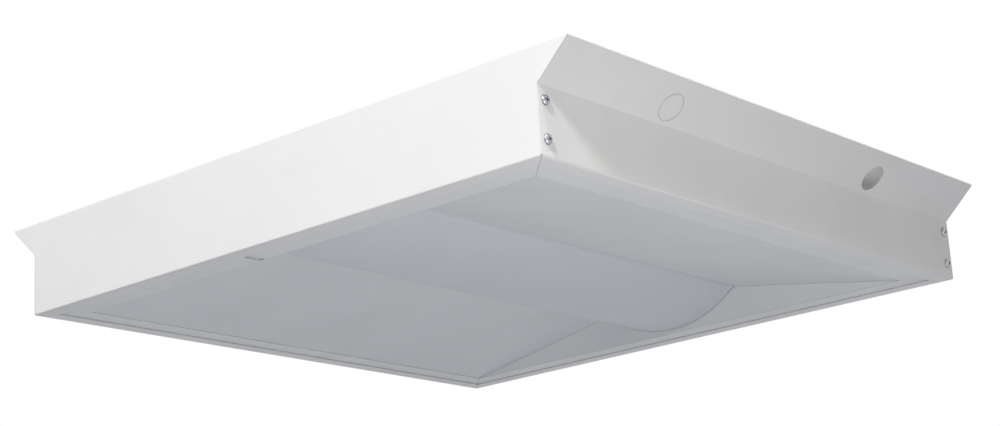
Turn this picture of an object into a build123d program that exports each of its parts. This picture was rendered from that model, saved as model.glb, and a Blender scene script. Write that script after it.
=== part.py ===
from build123d import *
import os
from math import sqrt

# A square sheet-metal troffer light carried in a ceiling surface frame.
# Two side panels of the frame flare out under the ceiling and two flat end panels
# cap them. The troffer lies on the frame's lip. Inside it a pair of sloping
# reflectors lead up to a bowed lens door, which swings down on two pivot pins and
# is held by a spring latch with a thumb tab in the left flange.
# X runs along the lens, Y across it, and Z = 0 is the ceiling, so all of the
# light lies below zero. All sizes are millimetres.

# ---- troffer, which the frame is made round ----
TROFFER_SIDE = 603.0        # outside of the housing, both ways

# ---- surface frame ----
FRAME_GAP = 7.5             # frame wall to housing, all round
HEADROOM = 7.0              # ceiling to the top of the housing
WALL_HEIGHT = 58.4          # upright stretch of a side panel, under its flare
FLARE_OUT = 34.3            # how far the flare leans out at the ceiling
LIP_WIDTH = 16.3            # lip turned in under the troffer
FRAME_SHEET = 1.0
FRAME_BEND = 0.8            # inside radius of the frame's bends
SIDE_RETURN = 81.0          # ceiling flange of a side panel
END_RETURN = 34.0           # ceiling flange of an end panel
RETURN_GAP = 2.0            # between the two kinds of ceiling flange
LIP_MITRE_GAP = 0.1         # half the gap between two mitred lips
CORNER_TAB_LENGTH = 16.0    # tab of an end panel behind a side panel
CORNER_TAB_SETBACK = 5.0    # tab to lip, and tab to fold
SLOT_INSET = 25.0           # ceiling slots, in from the end panel's face
SLOT_SPACING_Y = 406.4      # ceiling slots along one end panel
SLOT_WIDTH = 7.0
SLOT_LENGTH = 16.0

CORNER_SCREW_INSET = 8.3    # from the end of the side panel
CORNER_SCREW_LOW = 14.8     # above the lip
CORNER_SCREW_HIGH = 46.1
SCREW_HEAD_R = 4.4
SCREW_HEAD_HEIGHT = 2.6
SCREW_SHANK_R = 1.75
SCREW_LENGTH = 7.0
SCREW_HOLE_GAP = 0.35       # round its shank in the outer sheet
PILOT_GAP = 0.05            # round a shank in its tapped sheet
PIN_SIDES = 6               # flat sides of a screw or rivet and of its hole
HEAD_TAPER = 25.0           # slope of a head's sides, in degrees

KNOCKOUT_R = 13.0
KNOCKOUT_INSET = 155.0      # from the end of a side panel
KNOCKOUT_UP_SLOPE = 16.5    # centre, up the flare from the fold
KNOCKOUT_SCORE_WIDTH = 0.6
KNOCKOUT_SCORE_DEPTH = 0.3

# ---- troffer housing ----
FLANGE_WIDTH = 29.0         # flange turned in round the opening
HOUSING_HEIGHT = 82.0       # flange underside to the top of the housing
HOUSING_SHEET = 0.7
HOUSING_BEND = 0.8
SHOULDER_HEIGHT = 46.0      # upright wall, above it the shoulder slopes in
SHOULDER_RUN = 36.0
HOUSING_MITRE_GAP = 0.08
HOUSING_TAB = 13.0          # tabs of the housing ends inside the shell
RIVET_HEAD_R = 3.2
RIVET_HEAD_HEIGHT = 1.1
RIVET_SHANK_R = 1.6
RIVET_TAIL = 1.5            # shank past the inner sheet
TOP_RIVET_INSET = 75.5      # outer roof rivets, from the roof's edge
SIDE_RIVET_LOW = 14.0       # above the flange
SIDE_RIVET_HIGH = 34.0

# ---- reflectors ----
REFLECTOR_SHEET = 0.5
REFLECTOR_BEND = 0.6
REFLECTOR_FOOT = 12.0       # foot welded on the flange
REFLECTOR_UPSTAND = 14.0
REFLECTOR_END_GAP = 0.2     # side reflector to end reflector
END_RIM = 5.0               # end reflector above the side reflectors' slope
END_CROWN = 19.0            # end reflector above the lens edge, over the lens

# ---- lens door ----
LENS_HALF_WIDTH = 80.0
LENS_EDGE_HEIGHT = 35.0     # lens edge above the lip
LENS_SAG = 29.7             # how far the bowed lens drops below its edges
LENS_WALL = 2.0
LENS_UPSTAND = 8.0
LENS_SIDE_GAP = 2.5         # lens to reflector upstand
CAP_WALL = 1.5
CAP_END_GAP = 0.9           # lens door to end reflector
CAP_RIM_DEPTH = 6.0
CAP_RIM_WALL = 1.2
CAP_RIM_GAP = 0.15
CAP_RIM_HALF = 64.0
PIVOT_IN = 1.5              # pivot axis, in from the lens side
PIVOT_UP = 1.2              # pivot axis, above the lens edge
PIVOT_R = 1.5
PIVOT_GAP = 0.05
PIVOT_SEAT_GAP = 0.02
PIVOT_BOSS_R = 3.0
PIVOT_HEAD_R = 3.0
PIVOT_HEAD_HEIGHT = 1.2
PIVOT_TIP_GAP = 0.2

# ---- latch ----
LATCH_INSET = 42.5          # middle of the latch, in from the lens side
LATCH_SLOT_LENGTH = 19.0
LATCH_SLOT_WIDTH = 7.0
LATCH_SLOT_EDGE = 1.2       # web between the slot and the opening
LATCH_TRAVEL = 3.0
LATCH_TAB_GAP = 0.8         # thumb tab to the slot's sides
LATCH_TAB_END_GAP = 1.2
LATCH_TAB_RECESS = 0.2      # thumb tab behind the flange's face
LATCH_TAB_SPARE = 0.2       # left in the slot at the end of the travel
LATCH_BASE_WALL = 1.5
LATCH_BASE_OVERLAP = 3.0
LATCH_RIDE_GAP = 0.1
LATCH_POST_DEPTH = 4.0
LATCH_POST_SETBACK = 4.5
LATCH_POST_WIDTH = 6.0
NOSE_LOW = 13.5             # underside of the nose above the lip
NOSE_THICKNESS = 3.5
NOSE_WINDOW_GAP = 0.6
KEEPER_SHEET = 0.7
KEEPER_LENGTH = 5.5
KEEPER_GAP = 0.2
KEEPER_FOOT = 5.0
SPRING_STRIP = 0.25
SPRING_BEND = 0.3
SPRING_WIDTH = 4.8          # across the folds
SPRING_DEPTH = 4.0          # width of the strip
SPRING_LEGS = 3             # odd, so that both end pads run the same way
SPRING_HEIGHT = 9.0         # middle of the strip above the lip
SPRING_END_GAP = 0.1

# ---- light engine ----
TRAY_HEIGHT = 61.0          # underside of the tray above the lip
TRAY_SHEET = 0.8
TRAY_BEND = 1.0
TRAY_LEG_OVERLAP = 8.0      # tray leg beside the reflector upstand
TRAY_END_GAP = 4.5
REFLECTOR_RIVET_INSET = 78.0    # outer rivets, from the tray's end
BOARD_END_GAP = 6.0         # board to the tray's end
BOARD_WIDTH = 24.0
BOARD_THICKNESS = 1.6
BOARD_INSET = 43.0          # middle of a board, in from the tray's side
LED_COUNT = 24
LED_SIZE = 3.5
LED_HEIGHT = 0.8
BOARD_SCREWS = 4            # in a row along each board
BOARD_SCREW_INSET = 27.0    # outer screws, from the board's end
BOARD_SCREW_OFFSET = 8.0    # from the board's centre line
SMALL_HEAD_R = 2.8
SMALL_HEAD_HEIGHT = 1.6
SMALL_SHANK_R = 1.45
SMALL_TAIL = 3.0
BRACKET_INSET = 88.0        # bracket's middle, from the tray's end
BRACKET_WIDTH = 110.0
BRACKET_WEB = 30.0
BRACKET_FOOT = 18.0
BRACKET_SCREW_Y = 35.0

# ---- driver and wiring ----
DRIVER_LENGTH = 260.0
DRIVER_WIDTH = 42.0
DRIVER_HEIGHT = 28.0
DRIVER_INSET = 100.5        # driver's middle, from the roof's edge
DRIVER_EDGE_R = 1.5
DRIVER_EAR = 14.0
DRIVER_EAR_SHEET = 1.2
COVER_LENGTH = 116.0
COVER_WIDTH = 86.0
COVER_SHEET = 0.8
COVER_LAP = 8.0             # cover past its cut-out
COVER_INSET = 100.5         # cover's middle, from the roof's edge
LEAD_R = 1.1
LEAD_SIDES = 6              # flat sides of a lead's section
LEAD_PITCH = 5.0
LEAD_DROP = 13.0            # leads run this far under the housing top
LEAD_BEND = 7.0
LEAD_CROSS_GAP = 17.0       # middle lead past the left bracket's web
CONNECTOR_LENGTH = 18.0
CONNECTOR_SIZE = 4.4
LED_LEAD_PITCH = 3.6
LED_LEAD_INSET = 36.0       # leads' middle, from the board's end
LED_LEAD_BEND = 2.6
GROMMET_R = 6.5
GROMMET_SIDES = 12
GROMMET_WALL = 1.5
GROMMET_HEIGHT = 3.6
GROMMET_OFFSET = 12.0       # grommet centre to board edge
BOARD_PLUG_LENGTH = 9.0
BOARD_PLUG_HEIGHT = 4.2

# ---- levels and faces worked out from the sizes above ----
FRAME_SIDE = TROFFER_SIDE + 2 * (FRAME_GAP + FRAME_SHEET)
FRAME_HEIGHT = FRAME_SHEET + HOUSING_HEIGHT + HEADROOM
HALF = FRAME_SIDE / 2
LIP_Z = -FRAME_HEIGHT
FOLD_Z = LIP_Z + WALL_HEIGHT
WALL_IN = HALF - FRAME_SHEET
FLARE_RISE = FRAME_HEIGHT - WALL_HEIGHT
FLARE_LENGTH = sqrt(FLARE_OUT ** 2 + FLARE_RISE ** 2)
KNOCKOUT_X = HALF - KNOCKOUT_INSET

BODY_HALF = TROFFER_SIDE / 2
OPENING_HALF = BODY_HALF - FLANGE_WIDTH
FLANGE_Z = LIP_Z + FRAME_SHEET
FLANGE_TOP = FLANGE_Z + HOUSING_SHEET
HOUSING_TOP = FLANGE_Z + HOUSING_HEIGHT
HOUSING_ROOF = HOUSING_TOP - HOUSING_SHEET
BODY_IN = BODY_HALF - HOUSING_SHEET
SHOULDER_Z = FLANGE_Z + SHOULDER_HEIGHT
ROOF_HALF = BODY_HALF - SHOULDER_RUN
DRIVER_Y = ROOF_HALF - DRIVER_INSET
COVER_Y = COVER_INSET - ROOF_HALF

LENS_EDGE_Z = LIP_Z + LENS_EDGE_HEIGHT
LENS_RADIUS = (LENS_HALF_WIDTH ** 2 + LENS_SAG ** 2) / (2 * LENS_SAG)
LENS_CENTRE_Z = LENS_EDGE_Z - LENS_SAG + LENS_RADIUS
LENS_TOP_Z = LENS_EDGE_Z + LENS_UPSTAND
REFLECTOR_EDGE = LENS_HALF_WIDTH + LENS_SIDE_GAP
CAP_OUT = OPENING_HALF - CAP_END_GAP
LENS_END = CAP_OUT - CAP_WALL
PIVOT_Y = -(LENS_HALF_WIDTH - PIVOT_IN)
PIVOT_Z = LENS_EDGE_Z + PIVOT_UP

TRAY_Z = LIP_Z + TRAY_HEIGHT
TRAY_TOP = TRAY_Z + TRAY_SHEET
TRAY_HALF = REFLECTOR_EDGE + REFLECTOR_SHEET
TRAY_END = OPENING_HALF - TRAY_END_GAP
BOARD_Y = TRAY_HALF - BOARD_INSET
BOARD_END = TRAY_END - BOARD_END_GAP
BOARD_Z = TRAY_Z - BOARD_THICKNESS
BRACKET_X = TRAY_END - BRACKET_INSET
LED_LEAD_X = BOARD_END - LED_LEAD_INSET
LEAD_CROSS_X = BRACKET_X + BRACKET_WEB / 2 + LEAD_CROSS_GAP
LEAD_Z = HOUSING_ROOF - LEAD_DROP

LATCH_Y = LENS_HALF_WIDTH - LATCH_INSET
SLOT_IN = OPENING_HALF + LATCH_SLOT_EDGE
SLOT_OUT = SLOT_IN + LATCH_SLOT_LENGTH
POST_FRONT = SLOT_IN + LATCH_POST_SETBACK
POST_BACK = POST_FRONT + LATCH_POST_DEPTH
LATCH_BASE_Z = FLANGE_TOP + LATCH_RIDE_GAP
LATCH_BASE_HALF = LATCH_SLOT_WIDTH / 2 + LATCH_BASE_OVERLAP
NOSE_Z = LIP_Z + NOSE_LOW
WINDOW_HALF = LATCH_POST_WIDTH / 2 + NOSE_WINDOW_GAP
WINDOW_LOW = NOSE_Z - NOSE_WINDOW_GAP
WINDOW_HIGH = NOSE_Z + NOSE_THICKNESS + NOSE_WINDOW_GAP


# ---- shared shapes ----
def block(x, y, z):
    """Box between the low and high limits given for each axis."""
    size = (x[1] - x[0], y[1] - y[0], z[1] - z[0])
    middle = ((x[0] + x[1]) / 2, (y[0] + y[1]) / 2, (z[0] + z[1]) / 2)
    return Pos(*middle) * Box(*size)


def mitred_offset(points, distance):
    """Copy of an open run of points moved sideways, to the left if positive."""
    moved = []
    for i, point in enumerate(points):
        before = (point - points[i - 1]).normalized() if i > 0 else None
        after = (points[i + 1] - point).normalized() if i + 1 < len(points) else before
        before = before or after
        left_before = Vector(-before.Y, before.X)
        left_after = Vector(-after.Y, after.X)
        spread = 1 + left_before.dot(left_after)
        moved.append(point + (left_before + left_after) * (distance / spread))
    return moved


def bent_sheet(corners, sheet, bend):
    """Face of a bent sheet whose one side follows the corners.

    The metal lies to the left of the run, or to the right if sheet is negative.
    Every bend has the inside radius bend.
    """
    near = [Vector(*corner) for corner in corners]
    far = mitred_offset(near, sheet)
    near_radii = []
    far_radii = []
    for a, b, c in zip(near, near[1:], near[2:]):
        turn = (b - a).cross(c - b).Z
        inside_is_far = turn * sheet > 0
        near_radii.append(bend + abs(sheet) if inside_is_far else bend)
        far_radii.append(bend if inside_is_far else bend + abs(sheet))
    edges = FilletPolyline(*near, radius=near_radii)
    edges += Line(near[-1], far[-1])
    edges += FilletPolyline(*far, radius=far_radii)
    edges += Line(far[0], near[0])
    return make_face(edges)


def along_x(face, low, high):
    """Solid of a face drawn in Y and Z, from one X to another."""
    return extrude(Plane.YZ.offset(low) * face, amount=high - low)


def along_y(face, low, high):
    """Solid of a face drawn in X and Z, from one Y to another."""
    return extrude(Plane.XZ.offset(-low) * face, amount=low - high)


def flat_plate(outline, low, high):
    """Plate across X with an outline given in Y and Z."""
    return along_x(make_face(Polyline(*outline, close=True)), low, high)


def corner_wedge(gap, low, high, keep_x):
    """Cutter that mitres the flanges of a square frame at its four corners.

    It takes what lies beyond the diagonal, less a gap: the part further out in Y
    where keep_x is true, else the part further out in X.
    """
    triangle = Polyline((0, gap), (FRAME_SIDE, FRAME_SIDE + gap), (FRAME_SIDE, gap), close=True)
    wedge = Pos(0, 0, low) * extrude(make_face(triangle), amount=high - low)
    if keep_x:
        wedge = mirror(wedge, about=Plane(origin=(0, 0, 0), z_dir=(1, -1, 0)))
    wedge += mirror(wedge, about=Plane.YZ)
    return wedge + mirror(wedge, about=Plane.XZ)


def headed_pin(head_r, head_height, shank_r, length):
    """Screw or rivet with its head on z = 0 and its shank going down, as one solid.

    Head and shank have a few flat sides, because there are dozens of them.
    """
    head = extrude(RegularPolygon(head_r, PIN_SIDES), amount=head_height, taper=HEAD_TAPER)
    return head + extrude(RegularPolygon(shank_r, PIN_SIDES), amount=-length)


def pin_hole(shank_r, gap, reach):
    """Cutter for the shank of such a pin, reaching as far above z = 0 as below it."""
    return extrude(RegularPolygon(shank_r + gap, PIN_SIDES), amount=reach, both=True)


def shouldered_pin(head_r, head_height, shank_r, length):
    """Round pin with its head on z = 0 and its shank going down, as one solid."""
    pin = extrude(Circle(head_r), amount=head_height)
    return pin + extrude(Circle(shank_r), amount=-length)


def tube_along(points, bend):
    """Lead of a few flat sides that follows straight runs joined by arcs."""
    path = FilletPolyline(*points, radius=bend)
    start = Plane(path @ 0, z_dir=path % 0)
    return sweep(start * RegularPolygon(LEAD_R, LEAD_SIDES), path=path)


def group(solids):
    """Separate solids kept as one node."""
    return Compound(children=[solid for shape in solids for solid in shape.solids()])


# ---- surface frame ----
def knockout_plane(x):
    """Plane on the outside of the rear flare at a knockout, facing out."""
    share = KNOCKOUT_UP_SLOPE / FLARE_LENGTH
    centre = (x, HALF + FLARE_OUT * share, FOLD_Z + FLARE_RISE * share)
    return Plane(centre, x_dir=(1, 0, 0), z_dir=(0, FLARE_RISE, -FLARE_OUT))


def side_panel(open_knockouts):
    """Rear side panel: lip, wall, flare and ceiling flange bent from one sheet."""
    section = bent_sheet(
        [
            (HALF - LIP_WIDTH, LIP_Z),
            (HALF, LIP_Z),
            (HALF, FOLD_Z),
            (HALF + FLARE_OUT, 0),
            (HALF + FLARE_OUT - SIDE_RETURN, 0),
        ],
        FRAME_SHEET,
        FRAME_BEND,
    )
    panel = along_x(section, -HALF, HALF)
    lip_top = LIP_Z + FRAME_SHEET + FRAME_BEND
    panel -= corner_wedge(LIP_MITRE_GAP, LIP_Z - 1, lip_top, False)
    reach = 2 * FRAME_SHEET
    wing_y = (0, HALF + 2 * FLARE_OUT)
    for end in (-1, 1):
        wing_x = sorted((end * WALL_IN, end * (HALF + 1)))
        panel -= block(wing_x, wing_y, (FOLD_Z, 1))
        for height in (CORNER_SCREW_LOW, CORNER_SCREW_HIGH):
            hole = Pos(end * (HALF - CORNER_SCREW_INSET), HALF, LIP_Z + height)
            panel -= hole * Rot(90, 0, 0) * pin_hole(SCREW_SHANK_R, SCREW_HOLE_GAP, reach)
    for x in (-KNOCKOUT_X, KNOCKOUT_X):
        face = knockout_plane(x)
        if x in open_knockouts:
            panel -= face * Cylinder(KNOCKOUT_R, 4 * FRAME_SHEET)
        else:
            ring = Circle(KNOCKOUT_R) - Circle(KNOCKOUT_R - KNOCKOUT_SCORE_WIDTH)
            panel -= extrude(face * ring, amount=-KNOCKOUT_SCORE_DEPTH)
    return panel


def end_panel():
    """Right end panel: a flat plate with lip, ceiling flange, wings and tabs."""
    section = bent_sheet(
        [(HALF - LIP_WIDTH, LIP_Z), (HALF, LIP_Z), (HALF, 0), (HALF - END_RETURN, 0)],
        FRAME_SHEET,
        FRAME_BEND,
    )
    top_half = HALF + FLARE_OUT
    right_side = [(WALL_IN, LIP_Z), (WALL_IN, FOLD_Z), (HALF, FOLD_Z), (top_half, 0)]
    outline = right_side + [(-y, z) for y, z in reversed(right_side)]
    profile = make_face(Polyline(*outline, close=True))
    top_corners = profile.vertices().sort_by(Axis.Y)[-2:]
    profile = fillet(top_corners, FRAME_BEND + FRAME_SHEET)
    panel = along_y(section, -top_half, top_half) & along_x(profile, 0, HALF)
    return_half = top_half - SIDE_RETURN - RETURN_GAP
    for side in (-1, 1):
        beyond = sorted((side * return_half, side * top_half))
        panel -= block((0, WALL_IN), beyond, (-FRAME_SHEET - FRAME_BEND, 1))
    lip_top = LIP_Z + FRAME_SHEET + FRAME_BEND
    panel -= corner_wedge(LIP_MITRE_GAP, LIP_Z - 1, lip_top, True)
    tab_section = bent_sheet(
        [
            (HALF - CORNER_TAB_LENGTH, -WALL_IN),
            (HALF, -WALL_IN),
            (HALF, WALL_IN),
            (HALF - CORNER_TAB_LENGTH, WALL_IN),
        ],
        FRAME_SHEET,
        FRAME_BEND,
    )
    tab_low = LIP_Z + CORNER_TAB_SETBACK
    tab_high = FOLD_Z - CORNER_TAB_SETBACK
    tabs = Pos(0, 0, tab_low) * extrude(tab_section, amount=tab_high - tab_low)
    panel += tabs
    reach = 2 * FRAME_SHEET
    for side in (-1, 1):
        for height in (CORNER_SCREW_LOW, CORNER_SCREW_HIGH):
            hole = Pos(HALF - CORNER_SCREW_INSET, side * WALL_IN, LIP_Z + height)
            panel -= hole * Rot(90, 0, 0) * pin_hole(SCREW_SHANK_R, PILOT_GAP, reach)
        slot = Pos(HALF - SLOT_INSET, side * SLOT_SPACING_Y / 2, -2 * FRAME_SHEET)
        panel -= slot * extrude(SlotOverall(SLOT_LENGTH, SLOT_WIDTH), amount=4 * FRAME_SHEET)
    return panel


def corner_screws():
    """Eight domed screws that join the side panels to the end panels' tabs."""
    screw = headed_pin(SCREW_HEAD_R, SCREW_HEAD_HEIGHT, SCREW_SHANK_R, SCREW_LENGTH)
    screws = []
    for side in (-1, 1):
        turned = Rot(-90 * side, 0, 0) * screw
        for end in (-1, 1):
            for height in (CORNER_SCREW_LOW, CORNER_SCREW_HIGH):
                x = end * (HALF - CORNER_SCREW_INSET)
                screws.append(Pos(x, side * HALF, LIP_Z + height) * turned)
    return group(screws)


# ---- troffer housing ----
def housing_outline():
    """Outside of the housing across its length, from flange to flange."""
    return [
        (-BODY_HALF, FLANGE_Z),
        (-BODY_HALF, SHOULDER_Z),
        (-ROOF_HALF, HOUSING_TOP),
        (ROOF_HALF, HOUSING_TOP),
        (BODY_HALF, SHOULDER_Z),
        (BODY_HALF, FLANGE_Z),
    ]


def top_rivet_places():
    """X and Y of the rivets through the housing's roof."""
    x = BODY_HALF - HOUSING_TAB / 2
    outer = ROOF_HALF - TOP_RIVET_INSET
    return [(end * x, y) for end in (-1, 1) for y in (-outer, 0, outer)]


def side_rivet_places():
    """X and Z of the rivets through one wall of the housing."""
    x = BODY_HALF - HOUSING_TAB / 2
    heights = (FLANGE_Z + SIDE_RIVET_LOW, FLANGE_Z + SIDE_RIVET_HIGH)
    return [(end * x, z) for end in (-1, 1) for z in heights]


def rivet_holes():
    """Cutters for every rivet of the housing."""
    hole = pin_hole(RIVET_SHANK_R, PILOT_GAP, 4 * HOUSING_SHEET)
    cutters = [Pos(x, y, HOUSING_TOP) * hole for x, y in top_rivet_places()]
    for x, z in side_rivet_places():
        for side in (-1, 1):
            cutters.append(Pos(x, side * BODY_HALF, z) * Rot(90, 0, 0) * hole)
    return cutters


def roof_screw_places():
    """X and Y of the screws that hang the tray brackets from the roof."""
    foot = BRACKET_WEB / 2 + BRACKET_FOOT / 2
    return [
        (end * BRACKET_X + step * foot, side * BRACKET_SCREW_Y)
        for end in (-1, 1)
        for step in (-1, 1)
        for side in (-1, 1)
    ]


def driver_screw_places():
    """X and Y of the two screws through the driver's ears."""
    x = DRIVER_LENGTH / 2 + DRIVER_EAR / 2
    return [(-x, DRIVER_Y), (x, DRIVER_Y)]


def cover_screw_places():
    """X and Y of the two screws of the wiring cover."""
    x = COVER_LENGTH / 2 - COVER_LAP / 2
    return [(-x, COVER_Y), (x, COVER_Y)]


def housing_shell():
    """Roof, shoulders, walls and side flanges bent from one sheet."""
    corners = [(-OPENING_HALF, FLANGE_Z)] + housing_outline() + [(OPENING_HALF, FLANGE_Z)]
    shell = along_x(bent_sheet(corners, -HOUSING_SHEET, HOUSING_BEND), -BODY_IN, BODY_IN)
    flange_high = FLANGE_TOP + HOUSING_BEND
    shell -= corner_wedge(HOUSING_MITRE_GAP, FLANGE_Z - 1, flange_high, False)
    cut_x = COVER_LENGTH / 2 - COVER_LAP
    cut_y = COVER_WIDTH / 2 - COVER_LAP
    shell -= Pos(0, COVER_Y, HOUSING_TOP) * Box(2 * cut_x, 2 * cut_y, 4 * HOUSING_SHEET)
    shell -= rivet_holes()
    hole = pin_hole(SMALL_SHANK_R, PILOT_GAP, 2 * HOUSING_SHEET)
    for x, y in roof_screw_places() + driver_screw_places() + cover_screw_places():
        shell -= Pos(x, y, HOUSING_TOP) * hole
    return shell


def housing_end():
    """Right end of the housing: plate, flange, and tabs inside the shell."""
    end = flat_plate(housing_outline(), BODY_IN, BODY_HALF)
    end += block((OPENING_HALF, BODY_HALF), (-BODY_HALF, BODY_HALF), (FLANGE_Z, FLANGE_TOP))
    end -= corner_wedge(HOUSING_MITRE_GAP, FLANGE_Z - 1, FLANGE_TOP, True)
    tab_x = (BODY_HALF - HOUSING_TAB, BODY_IN)
    tab_half = ROOF_HALF - TOP_RIVET_INSET + HOUSING_TAB
    end += block(tab_x, (-tab_half, tab_half), (HOUSING_ROOF - HOUSING_SHEET, HOUSING_ROOF))
    tab_z = (FLANGE_TOP + HOUSING_BEND, SHOULDER_Z - HOUSING_BEND - HOUSING_SHEET)
    for side in (-1, 1):
        tab_y = sorted((side * BODY_IN, side * (BODY_IN - HOUSING_SHEET)))
        end += block(tab_x, tab_y, tab_z)
    end -= rivet_holes()
    return end


def latch_slot():
    """Cutter for the thumb tab's slot in the left flange."""
    y = (LATCH_Y - LATCH_SLOT_WIDTH / 2, LATCH_Y + LATCH_SLOT_WIDTH / 2)
    return block((-SLOT_OUT, -SLOT_IN), y, (FLANGE_Z - 1, FLANGE_TOP + 1))


def housing_rivets():
    """Rivets that close the housing, their heads outside."""
    length = 2 * HOUSING_SHEET + RIVET_TAIL
    rivet = headed_pin(RIVET_HEAD_R, RIVET_HEAD_HEIGHT, RIVET_SHANK_R, length)
    rivets = [Pos(x, y, HOUSING_TOP) * rivet for x, y in top_rivet_places()]
    for x, z in side_rivet_places():
        for side in (-1, 1):
            rivets.append(Pos(x, side * BODY_HALF, z) * Rot(-90 * side, 0, 0) * rivet)
    return group(rivets)


# ---- reflectors ----
def side_reflector():
    """Rear reflector: foot on the flange, flat slope, upstand beside the lens."""
    corners = [
        (OPENING_HALF + REFLECTOR_FOOT, FLANGE_TOP),
        (OPENING_HALF, FLANGE_TOP),
        (REFLECTOR_EDGE, LENS_EDGE_Z),
        (REFLECTOR_EDGE, LENS_EDGE_Z + REFLECTOR_UPSTAND),
    ]
    length = OPENING_HALF - REFLECTOR_END_GAP
    reflector = along_x(bent_sheet(corners, -REFLECTOR_SHEET, REFLECTOR_BEND), -length, length)
    return reflector - upstand_holes()


def upstand_height():
    """Height of the rivets through upstand and tray leg."""
    return LENS_EDGE_Z + REFLECTOR_UPSTAND - TRAY_LEG_OVERLAP / 2


def upstand_rivet_places():
    """X of the rivets along one upstand."""
    outer = TRAY_END - REFLECTOR_RIVET_INSET
    return (-outer, 0, outer)


def upstand_holes():
    """Cutters for the rivets that hold the reflectors to the tray."""
    hole = pin_hole(RIVET_SHANK_R, PILOT_GAP, 4 * TRAY_SHEET)
    cutters = []
    for x in upstand_rivet_places():
        for side in (-1, 1):
            place = Pos(x, side * REFLECTOR_EDGE, upstand_height())
            cutters.append(place * Rot(90, 0, 0) * hole)
    return cutters


def reflector_rivets():
    """Rivets through upstand and tray leg, their heads towards the lens."""
    length = REFLECTOR_SHEET + TRAY_SHEET + RIVET_TAIL
    rivet = headed_pin(RIVET_HEAD_R, RIVET_HEAD_HEIGHT, RIVET_SHANK_R, length)
    rivets = []
    for x in upstand_rivet_places():
        for side in (-1, 1):
            place = Pos(x, side * REFLECTOR_EDGE, upstand_height())
            rivets.append(place * Rot(90 * side, 0, 0) * rivet)
    return group(rivets)


def end_reflector():
    """Right end reflector: an upright plate over the lens end, with a foot."""
    crown_half = REFLECTOR_EDGE + END_RIM
    crown = LENS_EDGE_Z + END_CROWN
    shoulder = LENS_EDGE_Z + END_RIM
    plate = flat_plate(
        [
            (-OPENING_HALF, FLANGE_TOP),
            (-OPENING_HALF, FLANGE_TOP + END_RIM),
            (-crown_half, shoulder),
            (-crown_half, crown),
            (crown_half, crown),
            (crown_half, shoulder),
            (OPENING_HALF, FLANGE_TOP + END_RIM),
            (OPENING_HALF, FLANGE_TOP),
        ],
        OPENING_HALF,
        OPENING_HALF + REFLECTOR_SHEET,
    )
    foot_x = (OPENING_HALF, OPENING_HALF + REFLECTOR_FOOT)
    foot_z = (FLANGE_TOP, FLANGE_TOP + REFLECTOR_SHEET)
    plate += block(foot_x, (-OPENING_HALF, OPENING_HALF), foot_z)
    pivot = Pos(OPENING_HALF, PIVOT_Y, PIVOT_Z) * Rot(0, 90, 0)
    return plate - pivot * Cylinder(PIVOT_R + PIVOT_SEAT_GAP, 8 * REFLECTOR_SHEET)


def latch_clearance():
    """Cutter for the latch's window and its room in the left foot."""
    y_window = (LATCH_Y - WINDOW_HALF, LATCH_Y + WINDOW_HALF)
    window_x = (-OPENING_HALF - 2, -OPENING_HALF + 2)
    window = block(window_x, y_window, (WINDOW_LOW, WINDOW_HIGH))
    half = LATCH_BASE_HALF + KEEPER_GAP + KEEPER_SHEET + KEEPER_FOOT
    room_x = (-OPENING_HALF - REFLECTOR_FOOT - 1, -OPENING_HALF - REFLECTOR_SHEET)
    room = block(room_x, (LATCH_Y - half, LATCH_Y + half), (FLANGE_TOP - 1, FLANGE_TOP + 2))
    return [window, room]


# ---- lens door ----
def lens_arc(radius, half_width):
    """Arc of the bowed lens at a given radius, from -Y to +Y."""
    end_z = LENS_CENTRE_Z - sqrt(radius ** 2 - half_width ** 2)
    low = (0, LENS_CENTRE_Z - radius)
    return ThreePointArc((-half_width, end_z), low, (half_width, end_z))


def lens():
    """Bowed diffuser with an upstand along each side, one extruded section."""
    inner_half = LENS_HALF_WIDTH - LENS_WALL
    outer = lens_arc(LENS_RADIUS, LENS_HALF_WIDTH)
    inner = lens_arc(LENS_RADIUS - LENS_WALL, inner_half)
    edges = outer + inner
    for side, end in ((-1, 0), (1, 1)):
        outer_top = (side * LENS_HALF_WIDTH, LENS_TOP_Z)
        inner_top = (side * inner_half, LENS_TOP_Z)
        edges += Line(outer @ end, outer_top)
        edges += Line(outer_top, inner_top)
        edges += Line(inner_top, inner @ end)
    return along_x(make_face(edges), -LENS_END, LENS_END)


def lens_cap():
    """Right end cap of the lens: plate, rim inside the lens, and pivot boss."""
    outer = lens_arc(LENS_RADIUS, LENS_HALF_WIDTH)
    top = Polyline(
        outer @ 0, (-LENS_HALF_WIDTH, LENS_TOP_Z), (LENS_HALF_WIDTH, LENS_TOP_Z), outer @ 1
    )
    cap = along_x(make_face(outer + top), LENS_END, CAP_OUT)
    rim_r = LENS_RADIUS - LENS_WALL - CAP_RIM_GAP
    rim_out = lens_arc(rim_r, CAP_RIM_HALF)
    rim_in = lens_arc(rim_r - CAP_RIM_WALL, CAP_RIM_HALF)
    rim_edges = rim_out + rim_in + Line(rim_out @ 0, rim_in @ 0) + Line(rim_out @ 1, rim_in @ 1)
    cap += along_x(make_face(rim_edges), LENS_END - CAP_RIM_DEPTH, LENS_END)
    pivot = Pos((LENS_END + CAP_OUT) / 2, PIVOT_Y, PIVOT_Z) * Rot(0, 90, 0)
    cap += pivot * Cylinder(PIVOT_BOSS_R, CAP_WALL)
    cap -= pivot * Cylinder(PIVOT_R + PIVOT_GAP, 3 * CAP_WALL)
    window_y = (LATCH_Y - WINDOW_HALF, LATCH_Y + WINDOW_HALF)
    return cap - block((LENS_END - 1, CAP_OUT + 1), window_y, (WINDOW_LOW, WINDOW_HIGH))


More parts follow.
